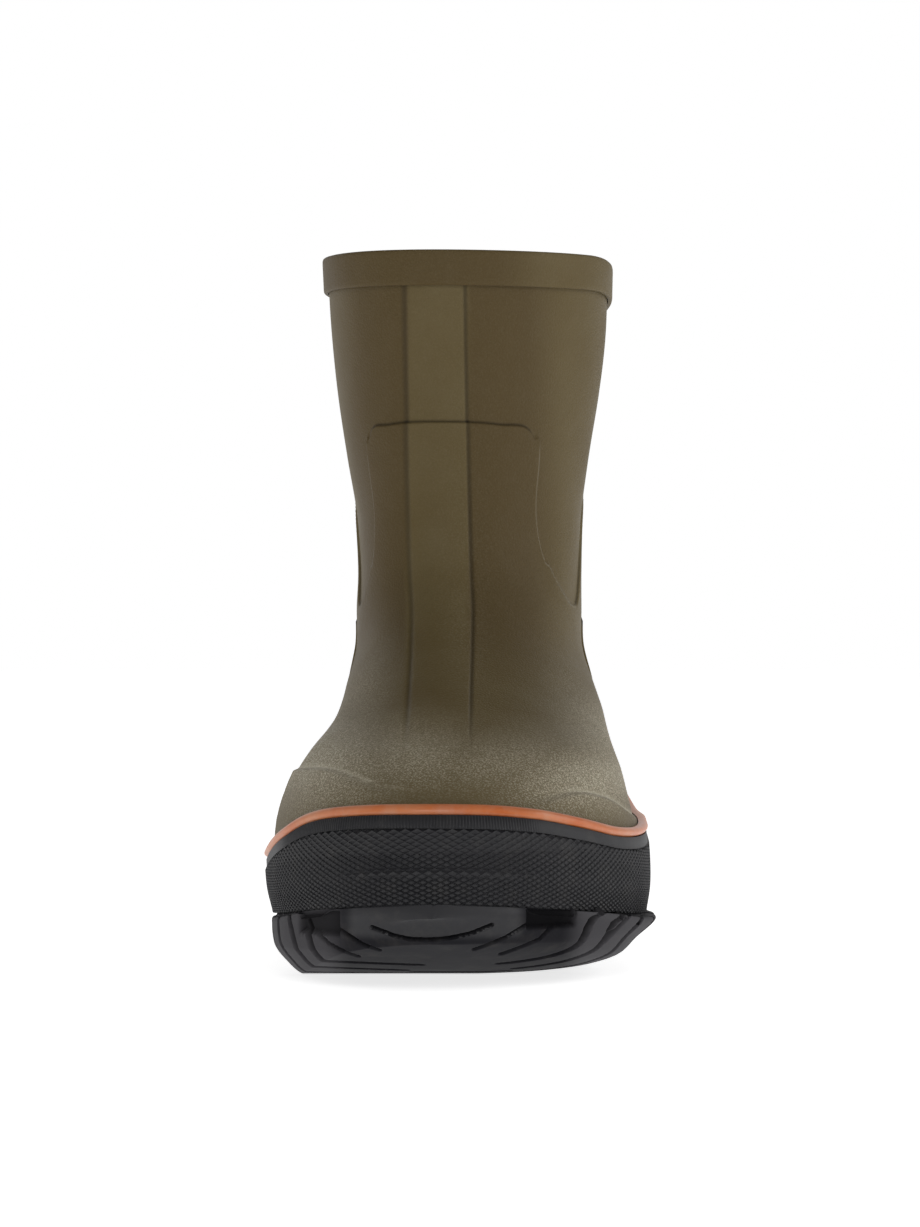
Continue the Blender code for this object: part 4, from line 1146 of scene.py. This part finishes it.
def make_sole(skin):
    """Outsole in two halves that meet under the arch, with a rolled edge, lugs and the toe's grooves."""
    reach = LAYER_STEP + CLEARANCE + RAND_THICKNESS
    split = math.acos(1.0 - 2.0 * SOLE_SPLIT)
    place, ball, heel = profile_samples()
    turns = np.concatenate((np.linspace(END_TURN, split, SOLE_SLICES + 1),
                            np.linspace(split, math.pi - END_TURN, SOLE_SLICES + 1)[1:]))
    y, inner, outer = sole_slices(turns, reach)
    x = 0.5 * (inner + outer)[:, None] + 0.5 * (outer - inner)[:, None] * place[None, :]
    y = np.broadcast_to(y[:, None], x.shape)
    rise = mix(ball[None, :], heel[None, :], smooth((share_along(y) - ARCH[0]) / (ARCH[1] - ARCH[0])))
    widest = np.argmax(outer), np.argmin(inner)
    front_out = np.interp(x, outer[:widest[0]], y[:widest[0], 0])
    front_in = np.interp(-x, -inner[:widest[1]], y[:widest[1], 0])
    away = y - np.where(x > x[0].mean(), front_out, front_in)
    bevel = TOE_BEVEL_RISE * (1.0 - smooth(away / TOE_BEVEL)) * fade(share_along(y), *TOE_BEVEL_END)
    rise = rise + (1.0 - rise) * bevel
    arch = smooth((y - along(ARCH[0]) - 0.02 * x * x / MM / BALL_WIDTH * MM) / GROOVE_WIDTH)
    arch = arch * smooth((along(ARCH[1]) - y) / GROOVE_WIDTH)
    plate = table_curve(PLATE_PROFILE, 1, place)[None, :]
    rise = np.maximum(rise, rise + (plate - rise) * arch * (plate > rise))
    z = np.maximum(mix(ground_line(y), sole_line(y), np.maximum(rise, 0.0)), 0.0)
    points = np.stack((x, y, z), axis=-1)
    normal = unit(np.cross(np.gradient(points, axis=0), np.gradient(points, axis=1)))
    down = np.sign(np.sum(normal[len(y) // 2, len(place) // 2] * np.array((0.0, 0.0, -1.0))))
    tread = tread_depth(points) * (1.0 - arch) * smooth((1.0 - rise) / TREAD_FADE)
    toe = toe_depth(points) * smooth((1.0 - rise) / TOE_FADE)
    depth = np.maximum(tread, toe)
    points = points - (depth * down)[..., None] * normal
    shine = smooth((x - SHINE_LEFT) / SHINE_EDGE) * smooth((SHINE_RIGHT - x) / SHINE_EDGE)
    shine = shine * smooth((along(SHINE_TO) - y) / SHINE_EDGE) * smooth((z - SHINE_FROM) / SHINE_SOFT)
    # Painted sheen of the side light on the sole's greyer flanks
    flanks = fade(np.abs(x / BALL_WIDTH - FLANKS_MIDDLE), *FLANKS_FROM) * fade(rise, *FLANKS_UNDER)
    top = np.repeat(points[:, :1], 3, axis=1)
    for column, share in enumerate((0.25, 0.5, 0.75)):
        top[:, column] = mix(points[:, -1], points[:, 0], share)
    points = np.concatenate((points, top, points[:, :1]), axis=1)
    for word, rows in (("front", slice(0, SOLE_SLICES + 1)), ("rear", slice(SOLE_SLICES, None))):
        piece = shaped_grid("boot_sole_%s" % word, points[rows])
        for name, values in (("groove", depth / TREAD_DEPTH), ("shine", shine), ("painted_highlight", flanks)):
            full = np.zeros(points[rows].shape[:2])
            full[:, :len(place)] = values[rows]
            store(piece, name, full, 0.0, full.shape)
        close_seams(piece, angle=50.0)
        place_piece(piece, skin, "black_outsole", "outsole")


def make_insole(skin):
    """Thin insole with a rounded, slightly raised edge."""
    turns = np.linspace(0.06, math.pi - 0.06, 181)
    y, inner, outer = sole_slices(turns, -UPPER_WALL - INSOLE_GAP)
    rows = []
    for place, up in INSOLE_PROFILE:
        x = 0.5 * (inner + outer) + 0.5 * (outer - inner) * place
        rows.append(np.stack((x, y, sole_line(y) + CLEARANCE + INSOLE_THICKNESS * up), axis=-1))
    rows.append(rows[0])
    piece = close_seams(shaped_grid("boot_insole", np.stack(rows)), angle=50.0)
    return place_piece(piece, skin, "insole_cloth", "insole")


# Finishes: how strongly the painted sheen, dust, painted shade of the grooves and of the edge, the painted
# highlight on the edge's rim and along the toe cap show on the olive rubber, its gloss and its relief; then
# the piping's dust; then the black rubber's dust, painted shade of its grooves and gloss, with the toe's
# crescent
OLIVE_SHEEN = 0.17
OLIVE_DUST = 0.012
GROOVE_SHADE = 0.45
EDGE_SHADE = 0.50
EDGE_RIM = 0.12
CAP_LINE_SHOWN = 0.38
OLIVE_SPECULAR = 0.16
OLIVE_TONE_ROUGHNESS = 0.08
GRAIN_RELIEF = 0.20
EDGE_RELIEF = 0.40
PIPING_DUST = 0.22
BLACK_DUST = 0.03
BLACK_GROOVE_SHADE = 0.9
BLACK_TONE_ROUGHNESS = 0.10
SHINE_ROUGHNESS = -0.20
GROOVE_ROUGHNESS = 0.4
SHINE_COAT = 0.5
COAT_ROUGHNESS = 0.30


def new_group(name, inputs, outputs):
    """A shader node group with named number inputs and value or colour outputs."""
    tree = bpy.data.node_groups.new(name, "ShaderNodeTree")
    for label, kind, value in inputs:
        socket = tree.interface.new_socket(name=label, in_out="INPUT", socket_type=kind)
        socket.default_value = value
    for label, kind in outputs:
        tree.interface.new_socket(name=label, in_out="OUTPUT", socket_type=kind)
    return tree, tree.nodes.new("NodeGroupInput"), tree.nodes.new("NodeGroupOutput")


def math_node(tree, operation, first, second=None, third=None):
    node = tree.nodes.new("ShaderNodeMath")
    node.operation = operation
    for socket, value in zip(node.inputs, (first, second, third)):
        if value is None:
            continue
        if isinstance(value, (int, float)):
            socket.default_value = value
        else:
            tree.links.new(value, socket)
    return node.outputs[0]


def ramp(tree, value, low, high):
    """The value's way from low to high as a share from 0 to 1."""
    node = tree.nodes.new("ShaderNodeMapRange")
    node.inputs["From Min"].default_value = low
    node.inputs["From Max"].default_value = high
    tree.links.new(value, node.inputs["Value"])
    return node.outputs["Result"]


def noise(tree, place, scale, detail=2.0, rough=0.5):
    node = tree.nodes.new("ShaderNodeTexNoise")
    node.inputs["Scale"].default_value = scale
    node.inputs["Detail"].default_value = detail
    node.inputs["Roughness"].default_value = rough
    tree.links.new(place, node.inputs["Vector"])
    return node.outputs["Fac"]


def blend_colours(tree, share, first, second):
    node = tree.nodes.new("ShaderNodeMix")
    node.data_type = "RGBA"
    for socket, value in ((node.inputs[0], share), (node.inputs[6], first), (node.inputs[7], second)):
        if isinstance(value, bpy.types.NodeSocket):
            tree.links.new(value, socket)
        elif isinstance(value, (int, float)):
            socket.default_value = value
        else:
            socket.default_value = tuple(value) + (1.0,) * (4 - len(value))
    return node.outputs[2]


def object_place(tree):
    return tree.nodes.new("ShaderNodeTexCoord").outputs["Object"]


def grain_group():
    """Fine pebbled grain of moulded rubber: its height, and painted glints as specks on the tops of the
    pebbles.
    """
    tree, given, result = new_group(
        "Pebble Grain", (("Scale", "NodeSocketFloat", 1500.0), ("Coarse", "NodeSocketFloat", 260.0)),
        (("Height", "NodeSocketFloat"), ("Glints", "NodeSocketFloat")))
    place = object_place(tree)
    pebbles = tree.nodes.new("ShaderNodeTexVoronoi")
    pebbles.feature = "SMOOTH_F1"
    pebbles.inputs["Smoothness"].default_value = 0.6
    tree.links.new(place, pebbles.inputs["Vector"])
    tree.links.new(given.outputs["Scale"], pebbles.inputs["Scale"])
    swells = noise(tree, place, 260.0, 3.0, 0.6)
    tree.links.new(given.outputs["Coarse"], swells.node.inputs["Scale"])
    tops = math_node(tree, "SUBTRACT", 1.0, pebbles.outputs["Distance"])
    height = math_node(tree, "MULTIPLY_ADD", swells, 0.7, tops)
    tree.links.new(height, result.inputs["Height"])
    glints = ramp(tree, noise(tree, place, 1900.0, 2.0, 0.6), 0.47, 0.66)
    tree.links.new(glints, result.inputs["Glints"])
    return tree


def dust_group():
    """Broad uneven tone and light dust of worn rubber: two masks."""
    tree, given, result = new_group(
        "Wear And Dust", (("Scale", "NodeSocketFloat", 22.0),),
        (("Tone", "NodeSocketFloat"), ("Dust", "NodeSocketFloat")))
    place = object_place(tree)
    tone = noise(tree, place, 22.0, 4.0, 0.6)
    tree.links.new(given.outputs["Scale"], tone.node.inputs["Scale"])
    tree.links.new(ramp(tree, tone, 0.30, 0.72), result.inputs["Tone"])
    dust = noise(tree, place, 150.0, 5.0, 0.65)
    tree.links.new(ramp(tree, dust, 0.50, 0.80), result.inputs["Dust"])
    return tree


def new_material(name, colour, roughness):
    """A material with a Principled shader at hand, and its tree."""
    made = bpy.data.materials.new(name)
    made.use_nodes = True
    tree = made.node_tree
    shader = tree.nodes["Principled BSDF"]
    shader.inputs["Base Color"].default_value = tuple(colour) + (1.0,) * (4 - len(colour))
    shader.inputs["Roughness"].default_value = roughness
    return made, tree, shader


def use_group(tree, group, **values):
    node = tree.nodes.new("ShaderNodeGroup")
    node.node_tree = bpy.data.node_groups[group]
    for label, value in values.items():
        node.inputs[label].default_value = value
    return node


def add_bump(tree, shader, height, strength, distance):
    bump = tree.nodes.new("ShaderNodeBump")
    bump.inputs["Strength"].default_value = strength
    bump.inputs["Distance"].default_value = distance
    tree.links.new(height, bump.inputs["Height"])
    tree.links.new(bump.outputs["Normal"], shader.inputs["Normal"])


def attribute(tree, name):
    node = tree.nodes.new("ShaderNodeAttribute")
    node.attribute_name = name
    return node.outputs["Fac"]


def edge_group():
    """The foot layer's crisp edge, from the way to it: step as a height, painted shadow line and painted
    highlight rim.
    """
    tree, given, result = new_group(
        "Layer Edge", (("Width", "NodeSocketFloat", 0.5 * MM),),
        (("Height", "NodeSocketFloat"), ("Line", "NodeSocketFloat"), ("Rim", "NodeSocketFloat")))
    share = math_node(tree, "DIVIDE", attribute(tree, "layer_way"), given.outputs["Width"])
    tree.links.new(ramp(tree, share, -0.5, 0.5), result.inputs["Height"])
    rise = ramp(tree, share, -1.6, -0.4)
    fall = ramp(tree, share, 0.6, -0.2)
    line = math_node(tree, "MULTIPLY", rise, fall)
    tree.links.new(math_node(tree, "MULTIPLY", line, attribute(tree, "edge_shadow")), result.inputs["Line"])
    rim = math_node(tree, "MULTIPLY", ramp(tree, share, -0.4, 0.2), ramp(tree, share, 1.6, 0.8))
    tree.links.new(math_node(tree, "MULTIPLY", rim, attribute(tree, "edge_highlight")), result.inputs["Rim"])
    return tree


def tint(tree, base, mask, strength, other):
    """The base colour, blended towards another one where a mask is set."""
    return blend_colours(tree, math_node(tree, "MULTIPLY", mask, strength), base, other)


def olive_rubber(looks):
    """Matt olive rubber with a fine pebbled grain, uneven brownish tone, crisp edges and a little dust."""
    made, tree, shader = new_material("upper_rubber", looks.olive, looks.olive_roughness)
    shader.inputs["Specular IOR Level"].default_value = OLIVE_SPECULAR
    grain = use_group(tree, "Pebble Grain", Scale=1500.0, Coarse=300.0)
    wear = use_group(tree, "Wear And Dust", Scale=24.0)
    edge = use_group(tree, "Layer Edge", Width=0.6 * MM)
    base = blend_colours(tree, wear.outputs["Tone"], looks.olive, looks.olive_brown)
    # Painted shade: browner bands beside the front strip and on most of the collar band
    base = blend_colours(tree, attribute(tree, "brown_shade"), base, looks.olive_shade_band)
    # Painted glints from the grain, strongest where the light catches the toe's shoulders
    strength = math_node(tree, "MULTIPLY_ADD", attribute(tree, "painted_highlight"), looks.painted_highlight, looks.painted_glints)
    glints = math_node(tree, "MULTIPLY", grain.outputs["Glints"], strength)
    base = blend_colours(tree, glints, base, looks.olive_highlight)
    # Painted sheen over the toe's shoulders
    base = tint(tree, base, attribute(tree, "painted_highlight"), OLIVE_SHEEN, looks.olive_highlight)
    base = tint(tree, base, wear.outputs["Dust"], OLIVE_DUST, looks.dust)
    # Painted shade in the grooves and along the heel counter's edge, and a painted shadow line under the
    # layer's edge
    dark = math_node(tree, "MULTIPLY", attribute(tree, "groove"), GROOVE_SHADE)
    dark = math_node(tree, "MULTIPLY_ADD", edge.outputs["Line"], EDGE_SHADE, dark)
    base = blend_colours(tree, dark, base, looks.crevice_shade)
    # Painted highlight on the upright rim of the layer's edge
    base = tint(tree, base, edge.outputs["Rim"], EDGE_RIM, looks.olive_highlight)
    # Painted highlight along the toe cap's upper edge
    base = tint(tree, base, attribute(tree, "cap_edge_highlight"), CAP_LINE_SHOWN, looks.olive_highlight)
    tree.links.new(base, shader.inputs["Base Color"])
    rough = math_node(tree, "MULTIPLY_ADD", wear.outputs["Tone"], OLIVE_TONE_ROUGHNESS, looks.olive_roughness)
    tree.links.new(rough, shader.inputs["Roughness"])
    height = math_node(tree, "MULTIPLY", grain.outputs["Height"], GRAIN_RELIEF)
    height = math_node(tree, "MULTIPLY_ADD", edge.outputs["Height"], EDGE_RELIEF, height)
    add_bump(tree, shader, height, 0.6, MM)
    return made


def orange_rubber(looks):
    """Smooth glossy orange rubber, slightly paler where it is dusty."""
    made, tree, shader = new_material("piping_rubber", looks.orange, 0.36)
    wear = use_group(tree, "Wear And Dust", Scale=60.0)
    base = blend_colours(tree, wear.outputs["Tone"], looks.orange, looks.orange_pale)
    base = tint(tree, base, wear.outputs["Dust"], PIPING_DUST, looks.dust)
    tree.links.new(base, shader.inputs["Base Color"])
    grain = use_group(tree, "Pebble Grain", Scale=1100.0, Coarse=200.0)
    add_bump(tree, shader, grain.outputs["Height"], 0.20, 0.06 * MM)
    return made


def black_rubber(looks, name, roughness, grain_strength, specular):
    """Black rubber, matt on the wall round the foot and glossier on the sole, most of all on its crescent."""
    made, tree, shader = new_material(name, looks.black, roughness)
    shader.inputs["Specular IOR Level"].default_value = specular
    wear = use_group(tree, "Wear And Dust", Scale=40.0)
    base = blend_colours(tree, wear.outputs["Tone"], looks.black, looks.black_light)
    base = tint(tree, base, wear.outputs["Dust"], BLACK_DUST, looks.dust)
    # Painted sheen of the side light on the sole's greyer flanks
    base = blend_colours(tree, attribute(tree, "painted_highlight"), base, looks.black_sheen)
    # Painted shade in the black rubber's grooves
    base = tint(tree, base, attribute(tree, "groove"), BLACK_GROOVE_SHADE, looks.black_groove_shade)
    tree.links.new(base, shader.inputs["Base Color"])
    rough = math_node(tree, "MULTIPLY_ADD", wear.outputs["Tone"], BLACK_TONE_ROUGHNESS, roughness)
    rough = math_node(tree, "MULTIPLY_ADD", attribute(tree, "shine"), SHINE_ROUGHNESS, rough)
    rough = math_node(tree, "MULTIPLY_ADD", attribute(tree, "groove"), GROOVE_ROUGHNESS, rough)
    tree.links.new(rough, shader.inputs["Roughness"])
    coat = math_node(tree, "MULTIPLY", attribute(tree, "shine"), SHINE_COAT)
    tree.links.new(coat, shader.inputs["Coat Weight"])
    shader.inputs["Coat Roughness"].default_value = COAT_ROUGHNESS
    grain = use_group(tree, "Pebble Grain", Scale=900.0, Coarse=180.0)
    add_bump(tree, shader, grain.outputs["Height"], grain_strength, 0.08 * MM)
    return made


def lining_cloth(looks, name):
    """Dull knitted lining: small rows of loops across the surface."""
    made, tree, shader = new_material(name, looks.cloth, 0.95)
    place = object_place(tree)
    loops = tree.nodes.new("ShaderNodeTexWave")
    loops.bands_direction = "Z"
    loops.inputs["Scale"].default_value = 260.0
    loops.inputs["Distortion"].default_value = 1.5
    loops.inputs["Detail"].default_value = 2.0
    loops.inputs["Detail Scale"].default_value = 4.0
    tree.links.new(place, loops.inputs["Vector"])
    fuzz = noise(tree, place, 1400.0, 3.0, 0.7)
    height = math_node(tree, "MULTIPLY_ADD", fuzz, 0.6, loops.outputs["Fac"])
    base = blend_colours(tree, ramp(tree, height, 0.3, 1.3), looks.cloth, looks.cloth_light)
    tree.links.new(base, shader.inputs["Base Color"])
    shader.inputs["Sheen Weight"].default_value = 0.3
    add_bump(tree, shader, height, 0.6, 0.3 * MM)
    return made


# Studio: floor, lights and surround
FLOOR_REACH = 6.0
FLOOR_DARKER = 0.985
LIGHTS = (
    # name, place, size across and up, power, what it looks at
    ("left_box", (-1.50, 0.00, 0.70), (0.9, 1.2), 2.6, (0.0, 0.0, 0.10)),
    ("right_box", (1.50, 0.00, 0.70), (0.9, 1.2), 7.5, (0.0, 0.0, 0.10)),
    ("front_box", (0.10, -2.10, 1.10), (1.2, 0.8), 11.5, (0.0, 0.0, 0.08)),
)


def make_floor(looks):
    """Pale floor that the boot stands on."""
    nothing_selected()
    bpy.ops.mesh.primitive_plane_add(size=2.0 * FLOOR_REACH, location=(0.0, 0.0, 0.0))
    floor = bpy.context.object
    floor.name = "studio_floor"
    made, tree, shader = new_material("studio_floor", looks.floor, 0.85)
    grain = noise(tree, object_place(tree), 3.0, 2.0)
    darker = [FLOOR_DARKER * value for value in looks.floor]
    shade = blend_colours(tree, ramp(tree, grain, 0.2, 0.8), looks.floor, darker)
    tree.links.new(shade, shader.inputs["Base Color"])
    shader.inputs["Specular IOR Level"].default_value = 0.0
    shader.inputs["Emission Color"].default_value = tuple(looks.floor) + (1.0,)
    shader.inputs["Emission Strength"].default_value = looks.floor_glow
    floor.data.materials.append(made)


def make_lights(looks):
    """Soft boxes at both sides and in front, and a surround that is bright behind the boot alone."""
    for name, place, size, power, target in LIGHTS:
        data = bpy.data.lights.new(name, "AREA")
        data.shape = "RECTANGLE"
        data.size, data.size_y = size
        data.energy = power * looks.light
        lamp = bpy.data.objects.new(name, data)
        lamp.location = place
        lamp.rotation_euler = (Vector(target) - Vector(place)).to_track_quat("-Z", "Y").to_euler()
        bpy.context.scene.collection.objects.link(lamp)
    world = bpy.data.worlds.new("studio")
    world.use_nodes = True
    tree = world.node_tree
    surround = tree.nodes["Background"]
    way = tree.nodes.new("ShaderNodeSeparateXYZ")
    tree.links.new(tree.nodes.new("ShaderNodeTexCoord").outputs["Generated"], way.inputs[0])
    behind = ramp(tree, way.outputs["Y"], 0.50, 0.90)
    low = ramp(tree, way.outputs["Z"], 0.75, 0.30)
    share = math_node(tree, "MULTIPLY", behind, low)
    dim = (looks.surround_front,) * 3
    tree.links.new(blend_colours(tree, share, dim, (1.0, 1.0, 1.0)), surround.inputs["Color"])
    surround.inputs["Strength"].default_value = looks.surround
    bpy.context.scene.world = world


def make_camera():
    data = bpy.data.cameras.new("camera")
    data.sensor_fit = "HORIZONTAL"
    data.sensor_width = 36.0
    data.lens = CAMERA_LENS
    camera = bpy.data.objects.new("camera", data)
    camera.location = CAMERA_AT
    camera.rotation_euler = (0.5 * math.pi - CAMERA_TILT, 0.0, 0.0)
    bpy.context.scene.collection.objects.link(camera)
    bpy.context.scene.camera = camera


def colour(name, description, value):
    return FloatVectorProperty(name=name, description=description, default=value, subtype="COLOR", size=3,
                               min=0.0, max=1.0)


class BootLooks(PropertyGroup):
    """Colours and finish of the boot and its studio."""
    olive: colour("Olive", "Colour of the upper", (0.115, 0.087, 0.038))
    olive_brown: colour("Olive Brown", "Browner places of the upper", (0.098, 0.070, 0.026))
    # Painted shade colour: browner bands beside the front strip and on most of the collar band
    olive_shade_band: colour("Olive Band", "Browner bands beside the front strip", (0.078, 0.053, 0.019))
    # Painted highlight colour: glints, sheen and lit edges of the upper
    olive_highlight: colour("Olive Light", "Specks, haze and worn edges of the upper", (0.62, 0.57, 0.44))
    # Painted sheen colour of the sole's flanks
    black_sheen: colour("Black Worn", "Greyer rubber on the sole's flanks", (0.052, 0.050, 0.054))
    # Painted shade colour deep in the black rubber's grooves
    black_groove_shade: colour("Black Crevice", "Colour deep in the black rubber's grooves", (0.003, 0.003, 0.003))
    # Painted shade colour in the upper's grooves and painted shadow under its layer's edge
    crevice_shade: colour("Crevice", "Colour of the lines in creases and seams", (0.014, 0.011, 0.006))
    olive_roughness: FloatProperty(name="Olive Roughness", description="Roughness of the upper", default=0.52,
                                   min=0.0, max=1.0, subtype="FACTOR")
    # Strength of the painted glints where the light catches the toe's shoulders
    painted_highlight: FloatProperty(name="Scuff", description="Strength of the speckle where the toe is scuffed",
                         default=0.80, min=0.0, max=1.0, subtype="FACTOR")
    # Strength of the painted glints all over the upper
    painted_glints: FloatProperty(name="Speckle", description="Strength of the pale specks", default=0.015,
                           min=0.0, max=1.0, subtype="FACTOR")
    orange: colour("Orange", "Colour of the piping", (0.50, 0.105, 0.013))
    orange_pale: colour("Orange Pale", "Paler places of the piping", (0.56, 0.21, 0.09))
    black: colour("Black", "Colour of the black rubber", (0.0085, 0.0085, 0.0105))
    black_light: colour("Black Light", "Paler places of the black rubber", (0.016, 0.0155, 0.018))
    cloth: colour("Cloth", "Colour of the lining", (0.10, 0.095, 0.085))
    cloth_light: colour("Cloth Light", "Raised loops of the lining", (0.20, 0.19, 0.17))
    dust: colour("Dust", "Colour of the dust", (0.50, 0.46, 0.38))
    floor: colour("Floor", "Colour of the floor", (0.90, 0.90, 0.90))
    floor_glow: FloatProperty(name="Floor Glow", description="Glow of the lit table", default=0.85, min=0.0)
    light: FloatProperty(name="Light", description="Strength of the soft boxes", default=1.0, min=0.0)
    surround: FloatProperty(name="Surround", description="Strength of the surround", default=1.0, min=0.0)
    surround_front: FloatProperty(name="Surround In Front", description="Its share in front and overhead",
                                  default=0.24, min=0.0, max=1.0, subtype="FACTOR")


class BOOT_OT_materials(Operator):
    """Builds the boot's finishes with their shared grain, wear and edge"""
    bl_idname = "boot.materials"
    bl_label = "Materials"

    def execute(self, context):
        grain_group()
        dust_group()
        edge_group()
        looks = context.scene.boot_looks
        olive_rubber(looks)
        orange_rubber(looks)
        black_rubber(looks, "rand_rubber", 0.50, 0.25, 0.40)
        black_rubber(looks, "sole_rubber", 0.55, 0.20, 0.03)
        lining_cloth(looks, "lining_cloth")
        return {"FINISHED"}


class BOOT_OT_upper(Operator):
    """Makes the hollow upper with its foot layer, toe cap and strip grooves"""
    bl_idname = "boot.upper"
    bl_label = "Upper"

    def execute(self, context):
        make_upper(bpy.data.materials["upper_rubber"], bpy.data.materials["lining_cloth"])
        return {"FINISHED"}


class BOOT_OT_trim(Operator):
    """Makes the collar band, the heel counter and the piping"""
    bl_idname = "boot.trim"
    bl_label = "Trim"

    def execute(self, context):
        make_collar_band(bpy.data.materials["upper_rubber"])
        make_heel_counter(bpy.data.materials["upper_rubber"])
        make_piping(bpy.data.materials["piping_rubber"])
        return {"FINISHED"}


class BOOT_OT_rand(Operator):
    """Makes the netted wall round the foot and its ribbed strip"""
    bl_idname = "boot.rand"
    bl_label = "Rand"

    def execute(self, context):
        make_rand(bpy.data.materials["rand_rubber"])
        make_rib_strip(bpy.data.materials["rand_rubber"])
        return {"FINISHED"}


class BOOT_OT_sole(Operator):
    """Makes the outsole and the insole"""
    bl_idname = "boot.sole"
    bl_label = "Sole"

    def execute(self, context):
        make_sole(bpy.data.materials["sole_rubber"])
        make_insole(bpy.data.materials["lining_cloth"])
        return {"FINISHED"}


class BOOT_OT_stage(Operator):
    """Sets up the floor, lights and camera"""
    bl_idname = "boot.stage"
    bl_label = "Stage"

    def execute(self, context):
        looks = context.scene.boot_looks
        make_camera()
        make_floor(looks)
        make_lights(looks)
        context.scene.view_settings.view_transform = "Standard"
        return {"FINISHED"}


class BOOT_PT_panel(Panel):
    """Lists the boot's pieces in the order of their making"""
    bl_label = "Boot"
    bl_idname = "BOOT_PT_panel"
    bl_space_type = "VIEW_3D"
    bl_region_type = "UI"
    bl_category = "Boot"

    def draw(self, context):
        for maker in OPERATORS:
            self.layout.operator(maker.bl_idname)
        for name in BootLooks.__annotations__:
            self.layout.prop(context.scene.boot_looks, name)


OPERATORS = (BOOT_OT_stage, BOOT_OT_materials, BOOT_OT_upper, BOOT_OT_trim, BOOT_OT_rand, BOOT_OT_sole)
CLASSES = (BootLooks,) + OPERATORS + (BOOT_PT_panel,)


def register():
    for cls in CLASSES:
        bpy.utils.register_class(cls)
    bpy.types.Scene.boot_looks = PointerProperty(type=BootLooks)


def unregister():
    del bpy.types.Scene.boot_looks
    for cls in reversed(CLASSES):
        bpy.utils.unregister_class(cls)


def main():
    register()
    bpy.ops.boot.stage()
    bpy.ops.boot.materials()
    bpy.ops.boot.upper()
    bpy.ops.boot.trim()
    bpy.ops.boot.rand()
    bpy.ops.boot.sole()


if __name__ == "__main__":
    main()
